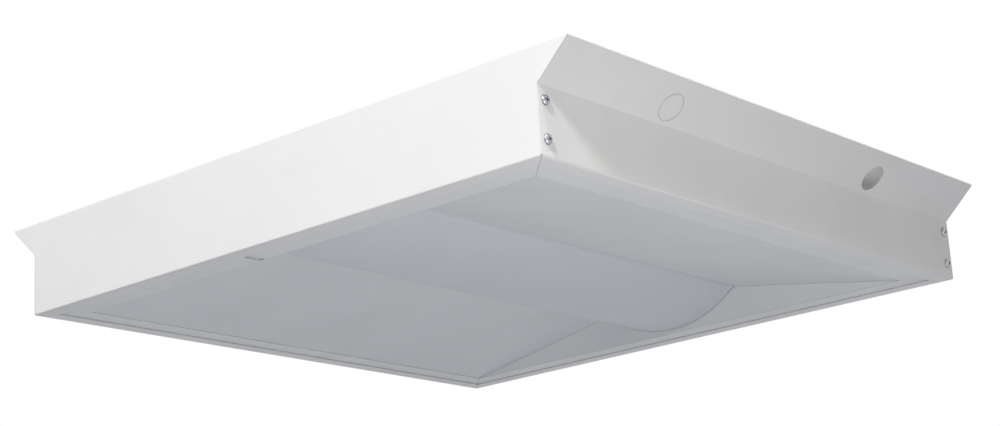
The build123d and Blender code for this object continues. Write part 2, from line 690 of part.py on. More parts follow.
def pivot_pins():
    """Two shouldered pins, riveted in the end reflectors, that carry the door."""
    length = OPENING_HALF + REFLECTOR_SHEET - LENS_END - PIVOT_TIP_GAP
    pin = shouldered_pin(PIVOT_HEAD_R, PIVOT_HEAD_HEIGHT, PIVOT_R, length)
    seat = OPENING_HALF + REFLECTOR_SHEET
    return group(Pos(end * seat, PIVOT_Y, PIVOT_Z) * Rot(0, 90 * end, 0) * pin for end in (-1, 1))


# ---- latch ----
def latch_slide():
    """Moulded slide: thumb tab in the slot, base, post, and nose towards the cap."""
    tab_half = LATCH_SLOT_WIDTH / 2 - LATCH_TAB_GAP
    tab_out = SLOT_OUT - LATCH_TRAVEL - LATCH_TAB_SPARE
    tab_y = (LATCH_Y - tab_half, LATCH_Y + tab_half)
    tab_z = (FLANGE_Z + LATCH_TAB_RECESS, LATCH_BASE_Z)
    slide = block((-tab_out, -SLOT_IN - LATCH_TAB_END_GAP), tab_y, tab_z)
    base_y = (LATCH_Y - LATCH_BASE_HALF, LATCH_Y + LATCH_BASE_HALF)
    base_z = (LATCH_BASE_Z, LATCH_BASE_Z + LATCH_BASE_WALL)
    slide += block((-SLOT_OUT, -SLOT_IN - LATCH_TAB_END_GAP), base_y, base_z)
    post_y = (LATCH_Y - LATCH_POST_WIDTH / 2, LATCH_Y + LATCH_POST_WIDTH / 2)
    nose = Polyline(
        (-POST_BACK, LATCH_BASE_Z),
        (-POST_BACK, NOSE_Z + NOSE_THICKNESS),
        (-OPENING_HALF, NOSE_Z + NOSE_THICKNESS),
        (-OPENING_HALF, NOSE_Z + NOSE_THICKNESS / 2),
        (-OPENING_HALF - NOSE_THICKNESS / 2, NOSE_Z),
        (-POST_FRONT, NOSE_Z),
        (-POST_FRONT, LATCH_BASE_Z),
        close=True,
    )
    return slide + along_y(make_face(nose), *post_y)


def latch_keeper():
    """Hat-shaped strap on the flange that holds the slide's base down."""
    inner = LATCH_BASE_HALF + KEEPER_GAP
    bridge = LATCH_BASE_Z + LATCH_BASE_WALL + KEEPER_GAP + KEEPER_SHEET
    outer = inner + KEEPER_SHEET
    foot = FLANGE_TOP + KEEPER_SHEET
    corners = [
        (LATCH_Y - outer - KEEPER_FOOT, foot),
        (LATCH_Y - outer, foot),
        (LATCH_Y - outer, bridge),
        (LATCH_Y + outer, bridge),
        (LATCH_Y + outer, foot),
        (LATCH_Y + outer + KEEPER_FOOT, foot),
    ]
    back = POST_BACK + LATCH_TRAVEL + KEEPER_GAP
    section = bent_sheet(corners, -KEEPER_SHEET, KEEPER_GAP)
    return along_x(section, -back - KEEPER_LENGTH, -back)


def latch_spring():
    """Folded strip spring between the housing end and the latch's post."""
    back = -BODY_IN + SPRING_END_GAP + SPRING_STRIP
    front = -POST_BACK - SPRING_END_GAP
    low = LATCH_Y - SPRING_WIDTH / 2
    high = LATCH_Y + SPRING_WIDTH / 2
    step = (front - back) / SPRING_LEGS
    folds = [(back + i * step, low if i % 2 else high) for i in range(SPRING_LEGS + 1)]
    corners = [(back, low)] + folds + [(front, high)]
    strip = extrude(bent_sheet(corners, SPRING_STRIP, SPRING_BEND), amount=SPRING_DEPTH)
    return Pos(0, 0, LIP_Z + SPRING_HEIGHT - SPRING_DEPTH / 2) * strip


# ---- light engine ----
def grommet_place():
    """Centre of the grommet in the tray, on the rear board's outer side."""
    return Pos(LED_LEAD_X, BOARD_Y + BOARD_WIDTH / 2 + GROMMET_OFFSET, TRAY_Z)


def led_tray():
    """Channel over the lens that carries the boards, its legs on the reflectors."""
    leg_z = LENS_EDGE_Z + REFLECTOR_UPSTAND - TRAY_LEG_OVERLAP
    corners = [(-TRAY_HALF, leg_z), (-TRAY_HALF, TRAY_Z), (TRAY_HALF, TRAY_Z), (TRAY_HALF, leg_z)]
    tray = along_x(bent_sheet(corners, TRAY_SHEET, TRAY_BEND), -TRAY_END, TRAY_END)
    tray -= upstand_holes()
    hole = pin_hole(SMALL_SHANK_R, PILOT_GAP, 2 * TRAY_SHEET)
    for x, y in board_screw_places() + tray_screw_places():
        tray -= Pos(x, y, TRAY_Z) * hole
    neck = RegularPolygon(GROMMET_R - GROMMET_WALL + PILOT_GAP, GROMMET_SIDES)
    return tray - grommet_place() * extrude(neck, amount=2 * TRAY_SHEET, both=True)


def board_screw_places():
    """X and Y of the screws that hold both boards."""
    first = BOARD_END - BOARD_SCREW_INSET
    pitch = 2 * first / (BOARD_SCREWS - 1)
    y = BOARD_Y + BOARD_SCREW_OFFSET
    return [(i * pitch - first, side * y) for i in range(BOARD_SCREWS) for side in (-1, 1)]


def tray_screw_places():
    """X and Y of the screws that hang the tray from its brackets."""
    return [(end * BRACKET_X, 0.0) for end in (-1, 1)]


def led_board(side):
    """Long board under the tray, on the given side of the middle."""
    y = (side * BOARD_Y - BOARD_WIDTH / 2, side * BOARD_Y + BOARD_WIDTH / 2)
    board = block((-BOARD_END, BOARD_END), y, (BOARD_Z, TRAY_Z))
    hole = pin_hole(SMALL_SHANK_R, PILOT_GAP, 2 * BOARD_THICKNESS)
    for x, screw_y in board_screw_places():
        board -= Pos(x, screw_y, BOARD_Z) * hole
    return board


def led_packages(side):
    """Row of square light sources along the middle of one board."""
    pitch = 2 * BOARD_END / LED_COUNT
    size = Box(LED_SIZE, LED_SIZE, LED_HEIGHT)
    z = BOARD_Z - LED_HEIGHT / 2
    first = -(LED_COUNT - 1) / 2 * pitch
    return group(Pos(first + i * pitch, side * BOARD_Y, z) * size for i in range(LED_COUNT))


def small_screw(grip):
    """Small pan-head screw standing on z = 0 that holds a given thickness."""
    return headed_pin(SMALL_HEAD_R, SMALL_HEAD_HEIGHT, SMALL_SHANK_R, grip + SMALL_TAIL)


def board_screws():
    """Screws through both boards into the tray, heads down."""
    screw = Rot(180, 0, 0) * small_screw(BOARD_THICKNESS)
    return group(Pos(x, y, BOARD_Z) * screw for x, y in board_screw_places())


def tray_bracket():
    """Right hat-shaped bracket between the housing roof and the tray."""
    web = BRACKET_WEB / 2
    web_z = TRAY_TOP + TRAY_SHEET
    corners = [
        (BRACKET_X - web - BRACKET_FOOT, HOUSING_ROOF),
        (BRACKET_X - web, HOUSING_ROOF),
        (BRACKET_X - web, web_z),
        (BRACKET_X + web, web_z),
        (BRACKET_X + web, HOUSING_ROOF),
        (BRACKET_X + web + BRACKET_FOOT, HOUSING_ROOF),
    ]
    section = bent_sheet(corners, -TRAY_SHEET, TRAY_BEND)
    bracket = along_y(section, -BRACKET_WIDTH / 2, BRACKET_WIDTH / 2)
    hole = pin_hole(SMALL_SHANK_R, PILOT_GAP, 2 * TRAY_SHEET)
    for x, y in roof_screw_places():
        bracket -= Pos(x, y, HOUSING_ROOF) * hole
    return bracket - Pos(BRACKET_X, 0, web_z) * hole


def bracket_screws():
    """Screws of the two brackets: from the roof down, and from the tray up."""
    roof_screw = small_screw(HOUSING_SHEET)
    tray_screw = Rot(180, 0, 0) * small_screw(TRAY_SHEET)
    screws = [Pos(x, y, HOUSING_TOP) * roof_screw for x, y in roof_screw_places()]
    screws += [Pos(x, y, TRAY_Z) * tray_screw for x, y in tray_screw_places()]
    return group(screws)


# ---- driver and wiring ----
def driver_case():
    """Driver can under the housing roof, with a mounting ear at each end."""
    low = HOUSING_ROOF - DRIVER_HEIGHT
    half = DRIVER_LENGTH / 2
    y = (DRIVER_Y - DRIVER_WIDTH / 2, DRIVER_Y + DRIVER_WIDTH / 2)
    can = block((-half, half), y, (low, HOUSING_ROOF))
    can = fillet(can.edges().filter_by(Axis.X), DRIVER_EDGE_R)
    ear_half = DRIVER_WIDTH / 2 - DRIVER_EAR / 2
    ear_y = (DRIVER_Y - ear_half, DRIVER_Y + ear_half)
    ear_x = (-half - DRIVER_EAR, half + DRIVER_EAR)
    can += block(ear_x, ear_y, (HOUSING_ROOF - DRIVER_EAR_SHEET, HOUSING_ROOF))
    hole = pin_hole(SMALL_SHANK_R, PILOT_GAP, 2 * DRIVER_EAR_SHEET)
    for x, screw_y in driver_screw_places():
        can -= Pos(x, screw_y, HOUSING_ROOF) * hole
    return can


def driver_screws():
    """Screws through the housing roof into the driver's ears."""
    screw = small_screw(HOUSING_SHEET)
    return group(Pos(x, y, HOUSING_TOP) * screw for x, y in driver_screw_places())


def wiring_cover():
    """Cover plate over the wiring cut-out, with a scored knockout in its middle."""
    z = (HOUSING_TOP, HOUSING_TOP + COVER_SHEET)
    half = COVER_LENGTH / 2
    cover = block((-half, half), (COVER_Y - COVER_WIDTH / 2, COVER_Y + COVER_WIDTH / 2), z)
    ring = Circle(KNOCKOUT_R) - Circle(KNOCKOUT_R - KNOCKOUT_SCORE_WIDTH)
    cover -= Pos(0, COVER_Y, z[1]) * extrude(ring, amount=-KNOCKOUT_SCORE_DEPTH)
    hole = pin_hole(SMALL_SHANK_R, PILOT_GAP, 2 * COVER_SHEET)
    for x, y in cover_screw_places():
        cover -= Pos(x, y, z[1]) * hole
    return cover


def cover_screws():
    """Two screws of the wiring cover."""
    screw = small_screw(COVER_SHEET + HOUSING_SHEET)
    top = HOUSING_TOP + COVER_SHEET
    return group(Pos(x, y, top) * screw for x, y in cover_screw_places())


def supply_lead(lane):
    """Lead from the driver's left end round to a push-in connector.

    Lane -1, 0 or 1 nests the three leads inside one another.
    """
    step = lane * LEAD_PITCH
    far_y = COVER_Y - step
    return tube_along(
        [
            (-DRIVER_LENGTH / 2, DRIVER_Y + step, LEAD_Z),
            (-LEAD_CROSS_X - step, DRIVER_Y + step, LEAD_Z),
            (-LEAD_CROSS_X - step, far_y, LEAD_Z),
            (-CONNECTOR_LENGTH, far_y, LEAD_Z),
        ],
        LEAD_BEND,
    )


def push_connectors():
    """Three push-in connectors on the ends of the supply leads."""
    size = Box(CONNECTOR_LENGTH, CONNECTOR_SIZE, 2 * CONNECTOR_SIZE)
    x = -CONNECTOR_LENGTH / 2
    return group(Pos(x, COVER_Y - lane * LEAD_PITCH, LEAD_Z) * size for lane in (-1, 0, 1))


def led_lead(lane):
    """Lead from the driver's right end down through the grommet to a plug."""
    step = lane * LED_LEAD_PITCH / 2
    x = LED_LEAD_X + step
    place = grommet_place().position
    plug_y = BOARD_Y + BOARD_WIDTH / 2
    plug_z = BOARD_Z - BOARD_PLUG_HEIGHT / 2
    return tube_along(
        [
            (DRIVER_LENGTH / 2, DRIVER_Y + step, LEAD_Z),
            (x, DRIVER_Y + step, LEAD_Z),
            (x, place.Y, LEAD_Z),
            (x, place.Y, plug_z),
            (x, plug_y, plug_z),
        ],
        LED_LEAD_BEND,
    )


def lead_grommet():
    """Rubber grommet where the leads pass through the tray."""
    neck_r = GROMMET_R - GROMMET_WALL
    rim = (GROMMET_HEIGHT - TRAY_SHEET) / 2
    outer = RegularPolygon(GROMMET_R, GROMMET_SIDES)
    neck = RegularPolygon(neck_r, GROMMET_SIDES)
    spool = Pos(0, 0, -rim) * extrude(outer, amount=rim)
    spool += extrude(neck, amount=TRAY_SHEET)
    spool += Pos(0, 0, TRAY_SHEET) * extrude(outer, amount=rim)
    bore = RegularPolygon(neck_r - GROMMET_WALL, GROMMET_SIDES)
    return grommet_place() * (spool - extrude(bore, amount=GROMMET_HEIGHT, both=True))


def board_plugs():
    """White plugs on the boards: one for the leads, two for the jumper."""
    size = Box(BOARD_PLUG_LENGTH, BOARD_WIDTH / 3, BOARD_PLUG_HEIGHT)
    z = BOARD_Z - BOARD_PLUG_HEIGHT / 2
    outer = BOARD_Y + BOARD_WIDTH / 3
    inner = BOARD_Y - BOARD_WIDTH / 3
    return group(Pos(LED_LEAD_X, y, z) * size for y in (outer, inner, -inner))


def board_jumper(lane):
    """Straight lead that feeds the front board from the rear one."""
    x = LED_LEAD_X + lane * LED_LEAD_PITCH / 2
    half = BOARD_Y - BOARD_WIDTH / 2
    place = Pos(x, 0, BOARD_Z - BOARD_PLUG_HEIGHT / 2) * Rot(90, 0, 0)
    return place * extrude(RegularPolygon(LEAD_R, LEAD_SIDES), amount=half, both=True)


# ---- all nodes ----
def build_nodes():
    """Every node of the light by name."""
    rear_panel = side_panel(open_knockouts=())
    front_panel = mirror(side_panel(open_knockouts=(KNOCKOUT_X,)), about=Plane.XZ)
    right_panel = end_panel()
    right_end = housing_end()
    right_reflector = end_reflector()
    rear_reflector = side_reflector()
    right_cap = lens_cap()
    right_bracket = tray_bracket()
    nodes = {
        "side_panel_front": front_panel,
        "side_panel_rear": rear_panel,
        "end_panel_left": mirror(right_panel, about=Plane.YZ),
        "end_panel_right": right_panel,
        "corner_screws": corner_screws(),
        "housing_shell": housing_shell(),
        "housing_end_left": mirror(right_end, about=Plane.YZ) - latch_slot(),
        "housing_end_right": right_end,
        "housing_rivets": housing_rivets(),
        "reflector_front": mirror(rear_reflector, about=Plane.XZ),
        "reflector_rear": rear_reflector,
        "reflector_end_left": mirror(right_reflector, about=Plane.YZ) - latch_clearance(),
        "reflector_end_right": right_reflector,
        "reflector_rivets": reflector_rivets(),
        "lens": lens(),
        "lens_cap_left": mirror(right_cap, about=Plane.YZ),
        "lens_cap_right": right_cap,
        "pivot_pins": pivot_pins(),
        "latch_slide": latch_slide(),
        "latch_keeper": latch_keeper(),
        "latch_spring": latch_spring(),
        "led_tray": led_tray(),
        "tray_bracket_left": mirror(right_bracket, about=Plane.YZ),
        "tray_bracket_right": right_bracket,
        "bracket_screws": bracket_screws(),
        "led_board_front": led_board(-1),
        "led_board_rear": led_board(1),
        "led_packages_front": led_packages(-1),
        "led_packages_rear": led_packages(1),
        "board_screws": board_screws(),
        "board_plugs": board_plugs(),
        "board_jumper": group(board_jumper(lane) for lane in (-1, 1)),
        "lead_grommet": lead_grommet(),
        "led_lead_positive": led_lead(1),
        "led_lead_negative": led_lead(-1),
        "driver_case": driver_case(),
        "driver_screws": driver_screws(),
        "supply_lead_live": supply_lead(1),
        "supply_lead_neutral": supply_lead(0),
        "supply_lead_earth": supply_lead(-1),
        "push_connectors": push_connectors(),
        "wiring_cover": wiring_cover(),
        "cover_screws": cover_screws(),
    }
    return nodes


os.makedirs("parts", exist_ok=True)
for name, shape in build_nodes().items():
    export_step(shape, f"parts/{name}.step")
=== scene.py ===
import math

import bmesh
import bpy
import numpy as np
from mathutils import Matrix, Vector


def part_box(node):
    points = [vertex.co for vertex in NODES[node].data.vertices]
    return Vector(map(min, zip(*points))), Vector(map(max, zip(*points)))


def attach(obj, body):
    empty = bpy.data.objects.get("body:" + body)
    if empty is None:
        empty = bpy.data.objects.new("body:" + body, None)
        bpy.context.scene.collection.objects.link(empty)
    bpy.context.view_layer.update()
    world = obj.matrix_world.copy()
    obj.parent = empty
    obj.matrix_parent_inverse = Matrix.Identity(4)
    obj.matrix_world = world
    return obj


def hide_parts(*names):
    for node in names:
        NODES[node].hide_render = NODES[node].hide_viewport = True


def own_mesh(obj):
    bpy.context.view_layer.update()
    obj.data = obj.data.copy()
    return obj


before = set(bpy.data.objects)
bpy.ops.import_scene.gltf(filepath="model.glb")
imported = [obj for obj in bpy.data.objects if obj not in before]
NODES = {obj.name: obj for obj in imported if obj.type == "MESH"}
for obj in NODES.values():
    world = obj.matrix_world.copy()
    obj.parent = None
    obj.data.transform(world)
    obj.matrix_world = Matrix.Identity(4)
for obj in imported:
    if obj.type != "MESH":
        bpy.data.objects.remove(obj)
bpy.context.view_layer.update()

# A square troffer light in its ceiling surface frame, seen from below.
# Metres throughout. X runs along the lens, Y across it, and z = 0 is the ceiling.

MM = 0.001

# ---- levels and faces of the pieces, from the frame ----
FRAME_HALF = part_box("end_panel_right")[1].x
LIP_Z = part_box("side_panel_front")[0].z
HOUSING_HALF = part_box("housing_end_right")[1].x
HOUSING_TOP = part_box("housing_shell")[1].z
COVER_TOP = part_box("wiring_cover")[1].z
TRAY_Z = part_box("led_board_front")[1].z
BOARD_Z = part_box("led_board_front")[0].z
BOARD_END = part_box("led_board_front")[1].x
BOARD_Y = sum(corner.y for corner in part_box("led_board_rear")) / 2
UPSTAND_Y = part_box("reflector_front")[1].y
LENS_LOW, LENS_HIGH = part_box("lens")
LATCH_LOW, LATCH_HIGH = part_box("latch_slide")
SPRING_LOW, SPRING_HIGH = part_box("latch_spring")

# ---- sizes of the small pieces ----
CORNER_SCREW_INSET = 8.3 * MM
CORNER_SCREW_HEIGHTS = (14.8 * MM, 46.1 * MM)
ROOF_RIVET_Y = 190.0 * MM
WALL_RIVET_HEIGHTS = (15.0 * MM, 35.0 * MM)
RIVET_INSET = 6.5 * MM
UPSTAND_RIVET_X = 190.0 * MM
BRACKET_X = 180.0 * MM
BRACKET_SCREW_X = 24.0 * MM
BRACKET_SCREW_Y = 35.0 * MM
DRIVER_SCREW_X = 137.0 * MM
DRIVER_Y = 165.0 * MM
COVER_SCREW_X = 54.0 * MM
COVER_Y = -165.0 * MM
BOARD_SCREW_X = 235.0 * MM
BOARD_SCREW_SPARE = 8.0 * MM
LED_COUNT = 24
LENS_WALL = 2.0 * MM
LENS_UPSTAND = 8.0 * MM
LENS_RIM = 1.7 * MM
SPRING_STRIP = 0.25 * MM
SPRING_BEND = 0.3 * MM
SPRING_WIDTH = 4.8 * MM
TAB_START = 3.2 * MM
TAB_END = 17.8 * MM
TAB_MARGIN = 3.8 * MM
TAB_RIBS = 5
LED_HALF = 1.75 * MM
LED_HEIGHT = 0.8 * MM

# ---- mesh and surface settings ----
MERGE_DISTANCE = 1e-6
SMOOTH_ANGLE = math.radians(35)
EDGE_ROUNDING = 0.7 * MM
SEAM_REACH = 3.0 * MM
RIM_SHADE_REACH = 2.5 * MM
COAT_RELIEF = 0.035 * MM
METAL_RELIEF = 0.012 * MM
PLASTIC_RELIEF = 0.02 * MM
TRACK_RELIEF = 0.04 * MM
FIRST_SPIN = 0.4
SPIN_STEP = 1.1

# ---- tones ----
WHITE = (1, 1, 1, 1)
RUBBED_STEEL = (0.42, 0.39, 0.36, 1)
# Painted shade, laid in seams and closed-in corners.
SEAM_SHADE = (0.085, 0.07, 0.08, 1)
SPECK = (0.45, 0.42, 0.38, 1)

# ---- mesh building ----


def grid_faces(rows, columns, close_columns=False):
    """Quads of a grid of points numbered row by row, each to its next row and column."""
    i = np.arange(rows - 1)[:, None]
    j = np.arange(columns if close_columns else columns - 1)[None, :]
    below = i + 1
    right = (j + 1) % columns
    quads = (i * columns + j, i * columns + right, below * columns + right, below * columns + j)
    return np.stack(np.broadcast_arrays(*quads), axis=-1).reshape(-1, 4)


def turned(profile, sides):
    """Surface of revolution: each (radius, height) of the profile swept round Z.

    A point at row i and side j is (r cos a, r sin a, h), with a = 2 pi j / sides.
    """
    profile = np.asarray(profile, float)
    angle = np.arange(sides) * 2 * math.pi / sides
    radius = profile[:, :1]
    x = radius * np.cos(angle)
    y = radius * np.sin(angle)
    z = np.broadcast_to(profile[:, 1:], x.shape)
    points = np.stack([x, y, z], axis=-1).reshape(-1, 3)
    return points, grid_faces(len(profile), sides, close_columns=True)


def copies(points, faces, matrices):
    """The same mesh put through each 4 x 4 matrix, as one mesh."""
    matrices = np.asarray(matrices, float)
    moved = np.einsum("kij,nj->kni", matrices[:, :3, :3], points) + matrices[:, None, :3, 3]
    shift = np.arange(len(matrices))[:, None, None] * len(points)
    return moved.reshape(-1, 3), (faces[None] + shift).reshape(-1, faces.shape[1])


def stacked(*meshes):
    """Several meshes of points and quads as one."""
    shifts = np.cumsum([0] + [len(points) for points, _ in meshes[:-1]])
    points = np.concatenate([points for points, _ in meshes])
    faces = np.concatenate([faces + shift for (_, faces), shift in zip(meshes, shifts)])
    return points, faces


def piece(name, mesh, material, body="fixture", replaces=(), smooth=True):
    """Object of a mesh, its doubled points merged and its normals outwards, on a body."""
    points, faces = mesh
    data = bpy.data.meshes.new(name)
    data.from_pydata(points.tolist(), [], faces.tolist())
    shell = bmesh.new()
    shell.from_mesh(data)
    bmesh.ops.remove_doubles(shell, verts=shell.verts, dist=MERGE_DISTANCE)
    bmesh.ops.recalc_face_normals(shell, faces=shell.faces)
    shell.to_mesh(data)
    shell.free()
    made = bpy.data.objects.new(name, data)
    bpy.context.scene.collection.objects.link(made)
    if smooth:
        data.shade_smooth()
        data.set_sharp_from_angle(angle=SMOOTH_ANGLE)
    data.materials.append(material)
    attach(made, body)
    if replaces:
        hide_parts(*replaces)
    return made


def aimed(place, towards, spin=0.0):
    """Matrix that puts a piece's +Z along a direction, turned about it by a spin."""
    turn = Vector(towards).to_track_quat("Z", "Y").to_matrix().to_4x4()
    return np.array(Matrix.Translation(place) @ turn @ Matrix.Rotation(spin, 4, "Z"))


# ---- shader building ----


class Shader:
    """Short way to add and join the nodes of one material or node group."""

    def __init__(self, tree):
        self.tree = tree

    def add(self, kind, inputs=None, **settings):
        """New node with its settings, and inputs that are values or other sockets."""
        made = self.tree.nodes.new(kind)
        for name, value in settings.items():
            setattr(made, name, value)
        for name, value in (inputs or {}).items():
            socket = made.inputs[name]
            if isinstance(value, bpy.types.NodeSocket):
                self.tree.links.new(value, socket)
            else:
                socket.default_value = value
        return made

    def noise(self, place, scale, detail=2.0, roughness=0.5, stretch=None):
        """Noise from 0 to 1, on places stretched by a factor on each axis."""
        if stretch:
            place = self.add("ShaderNodeMapping", {"Vector": place, "Scale": stretch}).outputs[0]
        inputs = {"Vector": place, "Scale": scale, "Detail": detail, "Roughness": roughness}
        return self.add("ShaderNodeTexNoise", inputs).outputs["Fac"]

    def ramp(self, value, low, high, to_low=0.0, to_high=1.0):
        """Value taken smoothly from one range to another, and held at its ends."""
        inputs = {"Value": value, 1: low, 2: high, 3: to_low, 4: to_high}
        made = self.add("ShaderNodeMapRange", inputs, interpolation_type="SMOOTHSTEP")
        return made.outputs[0]

    def maths(self, kind, a, b=0.0, clamp=False):
        """One sum, product or other operation of two numbers."""
        return self.add("ShaderNodeMath", {0: a, 1: b}, operation=kind, use_clamp=clamp).outputs[0]

    def blend(self, share, a, b, kind="MIX"):
        """Second colour over the first by a share, mixed in or, with ADD, added."""
        inputs = {"Factor": share, 6: a, 7: b}
        made = self.add("ShaderNodeMix", inputs, data_type="RGBA", blend_type=kind)
        return made.outputs[2]

    def bump(self, height, depth, normal=None):
        """Normal of a surface raised by a height of 0 to 1 times a depth in metres."""
        inputs = {"Height": height, "Distance": depth, "Strength": 1.0}
        if normal is not None:
            inputs["Normal"] = normal
        return self.add("ShaderNodeBump", inputs).outputs[0]


def node_group(name, inputs, outputs, build):
    """Shader node group with named sockets, filled by a function of its shader."""
    tree = bpy.data.node_groups.new(name, "ShaderNodeTree")
    for title, kind, value in inputs:
        socket = tree.interface.new_socket(name=title, in_out="INPUT", socket_type=kind)
        socket.default_value = value
    for title, kind in outputs:
        tree.interface.new_socket(name=title, in_out="OUTPUT", socket_type=kind)
    shader = Shader(tree)
    entry = shader.add("NodeGroupInput")
    results = build(shader, entry.outputs)
    end = shader.add("NodeGroupOutput")
    for title, socket in results.items():
        tree.links.new(socket, end.inputs[title])
    return tree


FLOAT = "NodeSocketFloat"
COLOUR = "NodeSocketColor"
NORMAL = "NodeSocketVector"


def powder_coat_group():
    """Sprayed paint: fine orange peel, cloudy film, and smears and specks of dust."""

    def build(shader, given):
        place = shader.add("ShaderNodeTexCoord").outputs["Object"]
        peel = shader.noise(place, 620.0, 1.0)
        waves = shader.noise(place, 170.0, 2.0)
        height = shader.maths("ADD", shader.maths("MULTIPLY", peel, 0.55), waves)
        clouds = shader.noise(place, 9.0, 4.0, 0.6)
        smears = shader.noise(place, 16.0, 4.0, 0.65, (1.0, 0.25, 1.0))
        film = shader.ramp(clouds, 0.32, 0.72)
        dust = shader.ramp(smears, 0.5, 0.78)
        dust = shader.maths("MULTIPLY", dust, given["Dust"])
        specks = shader.ramp(shader.noise(place, 900.0, 1.0), 0.73, 0.78)
        specks = shader.maths("MULTIPLY", specks, shader.ramp(clouds, 0.5, 0.8))
        specks = shader.maths("MULTIPLY", specks, given["Dust"])
        tint = shader.blend(film, given["Paint"], given["Thin film"])
        tint = shader.blend(dust, tint, given["Dust colour"])
        tint = shader.blend(specks, tint, SPECK)
        rough = shader.maths("MULTIPLY", film, 0.06)
        rough = shader.maths("ADD", rough, given["Roughness"])
        rough = shader.maths("ADD", rough, shader.maths("MULTIPLY", dust, 0.3), clamp=True)
        normal = shader.bump(height, COAT_RELIEF, given["Surface"])
        return {"Colour": tint, "Roughness": rough, "Normal": normal}

    return node_group(
        "powder_coat",
        [
            ("Paint", COLOUR, (0.80, 0.80, 0.79, 1)),
            ("Thin film", COLOUR, (0.76, 0.76, 0.755, 1)),
            ("Dust colour", COLOUR, (0.62, 0.60, 0.56, 1)),
            ("Dust", FLOAT, 0.5),
            ("Roughness", FLOAT, 0.42),
            ("Surface", NORMAL, (0, 0, 1)),
        ],
        [("Colour", COLOUR), ("Roughness", FLOAT), ("Normal", NORMAL)],
        build,
    )


def crease_share(shader, distance, open_at, shut_at):
    """Share of painted shade in seams and round edges, from how far a point is closed in."""
    made = shader.add("ShaderNodeAmbientOcclusion", {"Distance": distance}, samples=12)
    return shader.ramp(made.outputs["AO"], open_at, shut_at)


def edge_wear_and_seam_shade_group():
    """Masks of rubbed outer edges and of painted shade in seams, and a normal rounded at edges."""

    def build(shader, given):
        place = shader.add("ShaderNodeTexCoord").outputs["Object"]
        soft = shader.add("ShaderNodeBevel", {"Radius": EDGE_ROUNDING}, samples=6).outputs[0]
        sharp = shader.add("ShaderNodeNewGeometry").outputs["Normal"]
        match = shader.add("ShaderNodeVectorMath", {0: soft, 1: sharp}, operation="DOT_PRODUCT")
        edge = shader.ramp(match.outputs["Value"], 0.985, 0.9)
        patches = shader.ramp(shader.noise(place, 11.0, 3.0, 0.6), 0.38, 0.62)
        mask = shader.maths("MULTIPLY", edge, patches)
        mask = shader.maths("MULTIPLY", mask, given["Amount"], clamp=True)
        # Painted shade: darker where a point is closed in, as in seams and corners.
        seams = crease_share(shader, SEAM_REACH, 0.68, 0.42)
        seams = shader.maths("MULTIPLY", seams, given["Dirt"], clamp=True)
        return {"Mask": mask, "Seams": seams, "Normal": soft}

    return node_group(
        "edge_wear_and_seam_shade",
        [("Amount", FLOAT, 0.5), ("Dirt", FLOAT, 0.8)],
        [("Mask", FLOAT), ("Seams", FLOAT), ("Normal", NORMAL)],
        build,
    )


def plated_group():
    """Zinc or aluminium: fine turning marks, cloudy passivation, dull spots, and a painted dark
    reflection and painted shade where a point is closed in.
    """

    def build(shader, given):
        place = shader.add("ShaderNodeTexCoord").outputs["Object"]
        clouds = shader.noise(place, 260.0, 3.0, 0.6)
        grain = shader.noise(place, 4200.0, 2.0)
        tint = shader.blend(shader.ramp(clouds, 0.35, 0.7), given["Metal"], given["Film"])
        # Painted dark reflection at a head's rim and painted shade in its recess, darker where a
        # point is closed in.
        ring = crease_share(shader, RIM_SHADE_REACH, 0.86, 0.5)
        tint = shader.blend(ring, tint, given["Rim_shade"])
        rough = shader.maths("ADD", given["Roughness"], shader.maths("MULTIPLY", clouds, 0.18))
        normal = shader.bump(grain, METAL_RELIEF)
        return {"Colour": tint, "Roughness": rough, "Normal": normal}

    return node_group(
        "plated_metal",
        [
            ("Metal", COLOUR, (0.62, 0.62, 0.64, 1)),
            ("Film", COLOUR, (0.50, 0.50, 0.56, 1)),
            ("Rim_shade", COLOUR, (0.10, 0.10, 0.13, 1)),
            ("Roughness", FLOAT, 0.24),
        ],
        [("Colour", COLOUR), ("Roughness", FLOAT), ("Normal", NORMAL)],
        build,
    )


def moulded_group():
    """Moulded or extruded plastic: faint flow streaks along one axis and fine grain."""

    def build(shader, given):
        place = shader.add("ShaderNodeTexCoord").outputs["Object"]
        streaks = shader.noise(place, 1.0, 3.0, 0.6, (3.0, 260.0, 260.0))
        grain = shader.noise(place, 1500.0, 2.0)
        clouds = shader.noise(place, 14.0, 3.0)
        tint = shader.blend(shader.ramp(clouds, 0.35, 0.7), given["Plastic"], given["Shade"])
        mix = shader.maths("MULTIPLY", streaks, given["Streaks"])
        mix = shader.maths("ADD", mix, shader.maths("MULTIPLY", grain, 0.25))
        rough = shader.maths("ADD", given["Roughness"], shader.maths("MULTIPLY", clouds, 0.08))
        return {"Colour": tint, "Roughness": rough, "Normal": shader.bump(mix, PLASTIC_RELIEF)}

    return node_group(
        "moulded_plastic",
        [
            ("Plastic", COLOUR, (0.8, 0.8, 0.8, 1)),
            ("Shade", COLOUR, (0.75, 0.75, 0.75, 1)),
            ("Streaks", FLOAT, 0.3),
            ("Roughness", FLOAT, 0.4),
        ],
        [("Colour", COLOUR), ("Roughness", FLOAT), ("Normal", NORMAL)],
        build,
    )


POWDER_COAT = powder_coat_group()
EDGE_WEAR_AND_SEAM_SHADE = edge_wear_and_seam_shade_group()
PLATED = plated_group()
MOULDED = moulded_group()


def new_material(name, **sockets):
    """Material with a Principled BSDF whose plain sockets are set here."""
    material = bpy.data.materials.new(name)
    material.use_nodes = True
    surface = material.node_tree.nodes["Principled BSDF"]
    for title, value in sockets.items():
        surface.inputs[title.replace("_", " ")].default_value = value
    return material, Shader(material.node_tree), surface


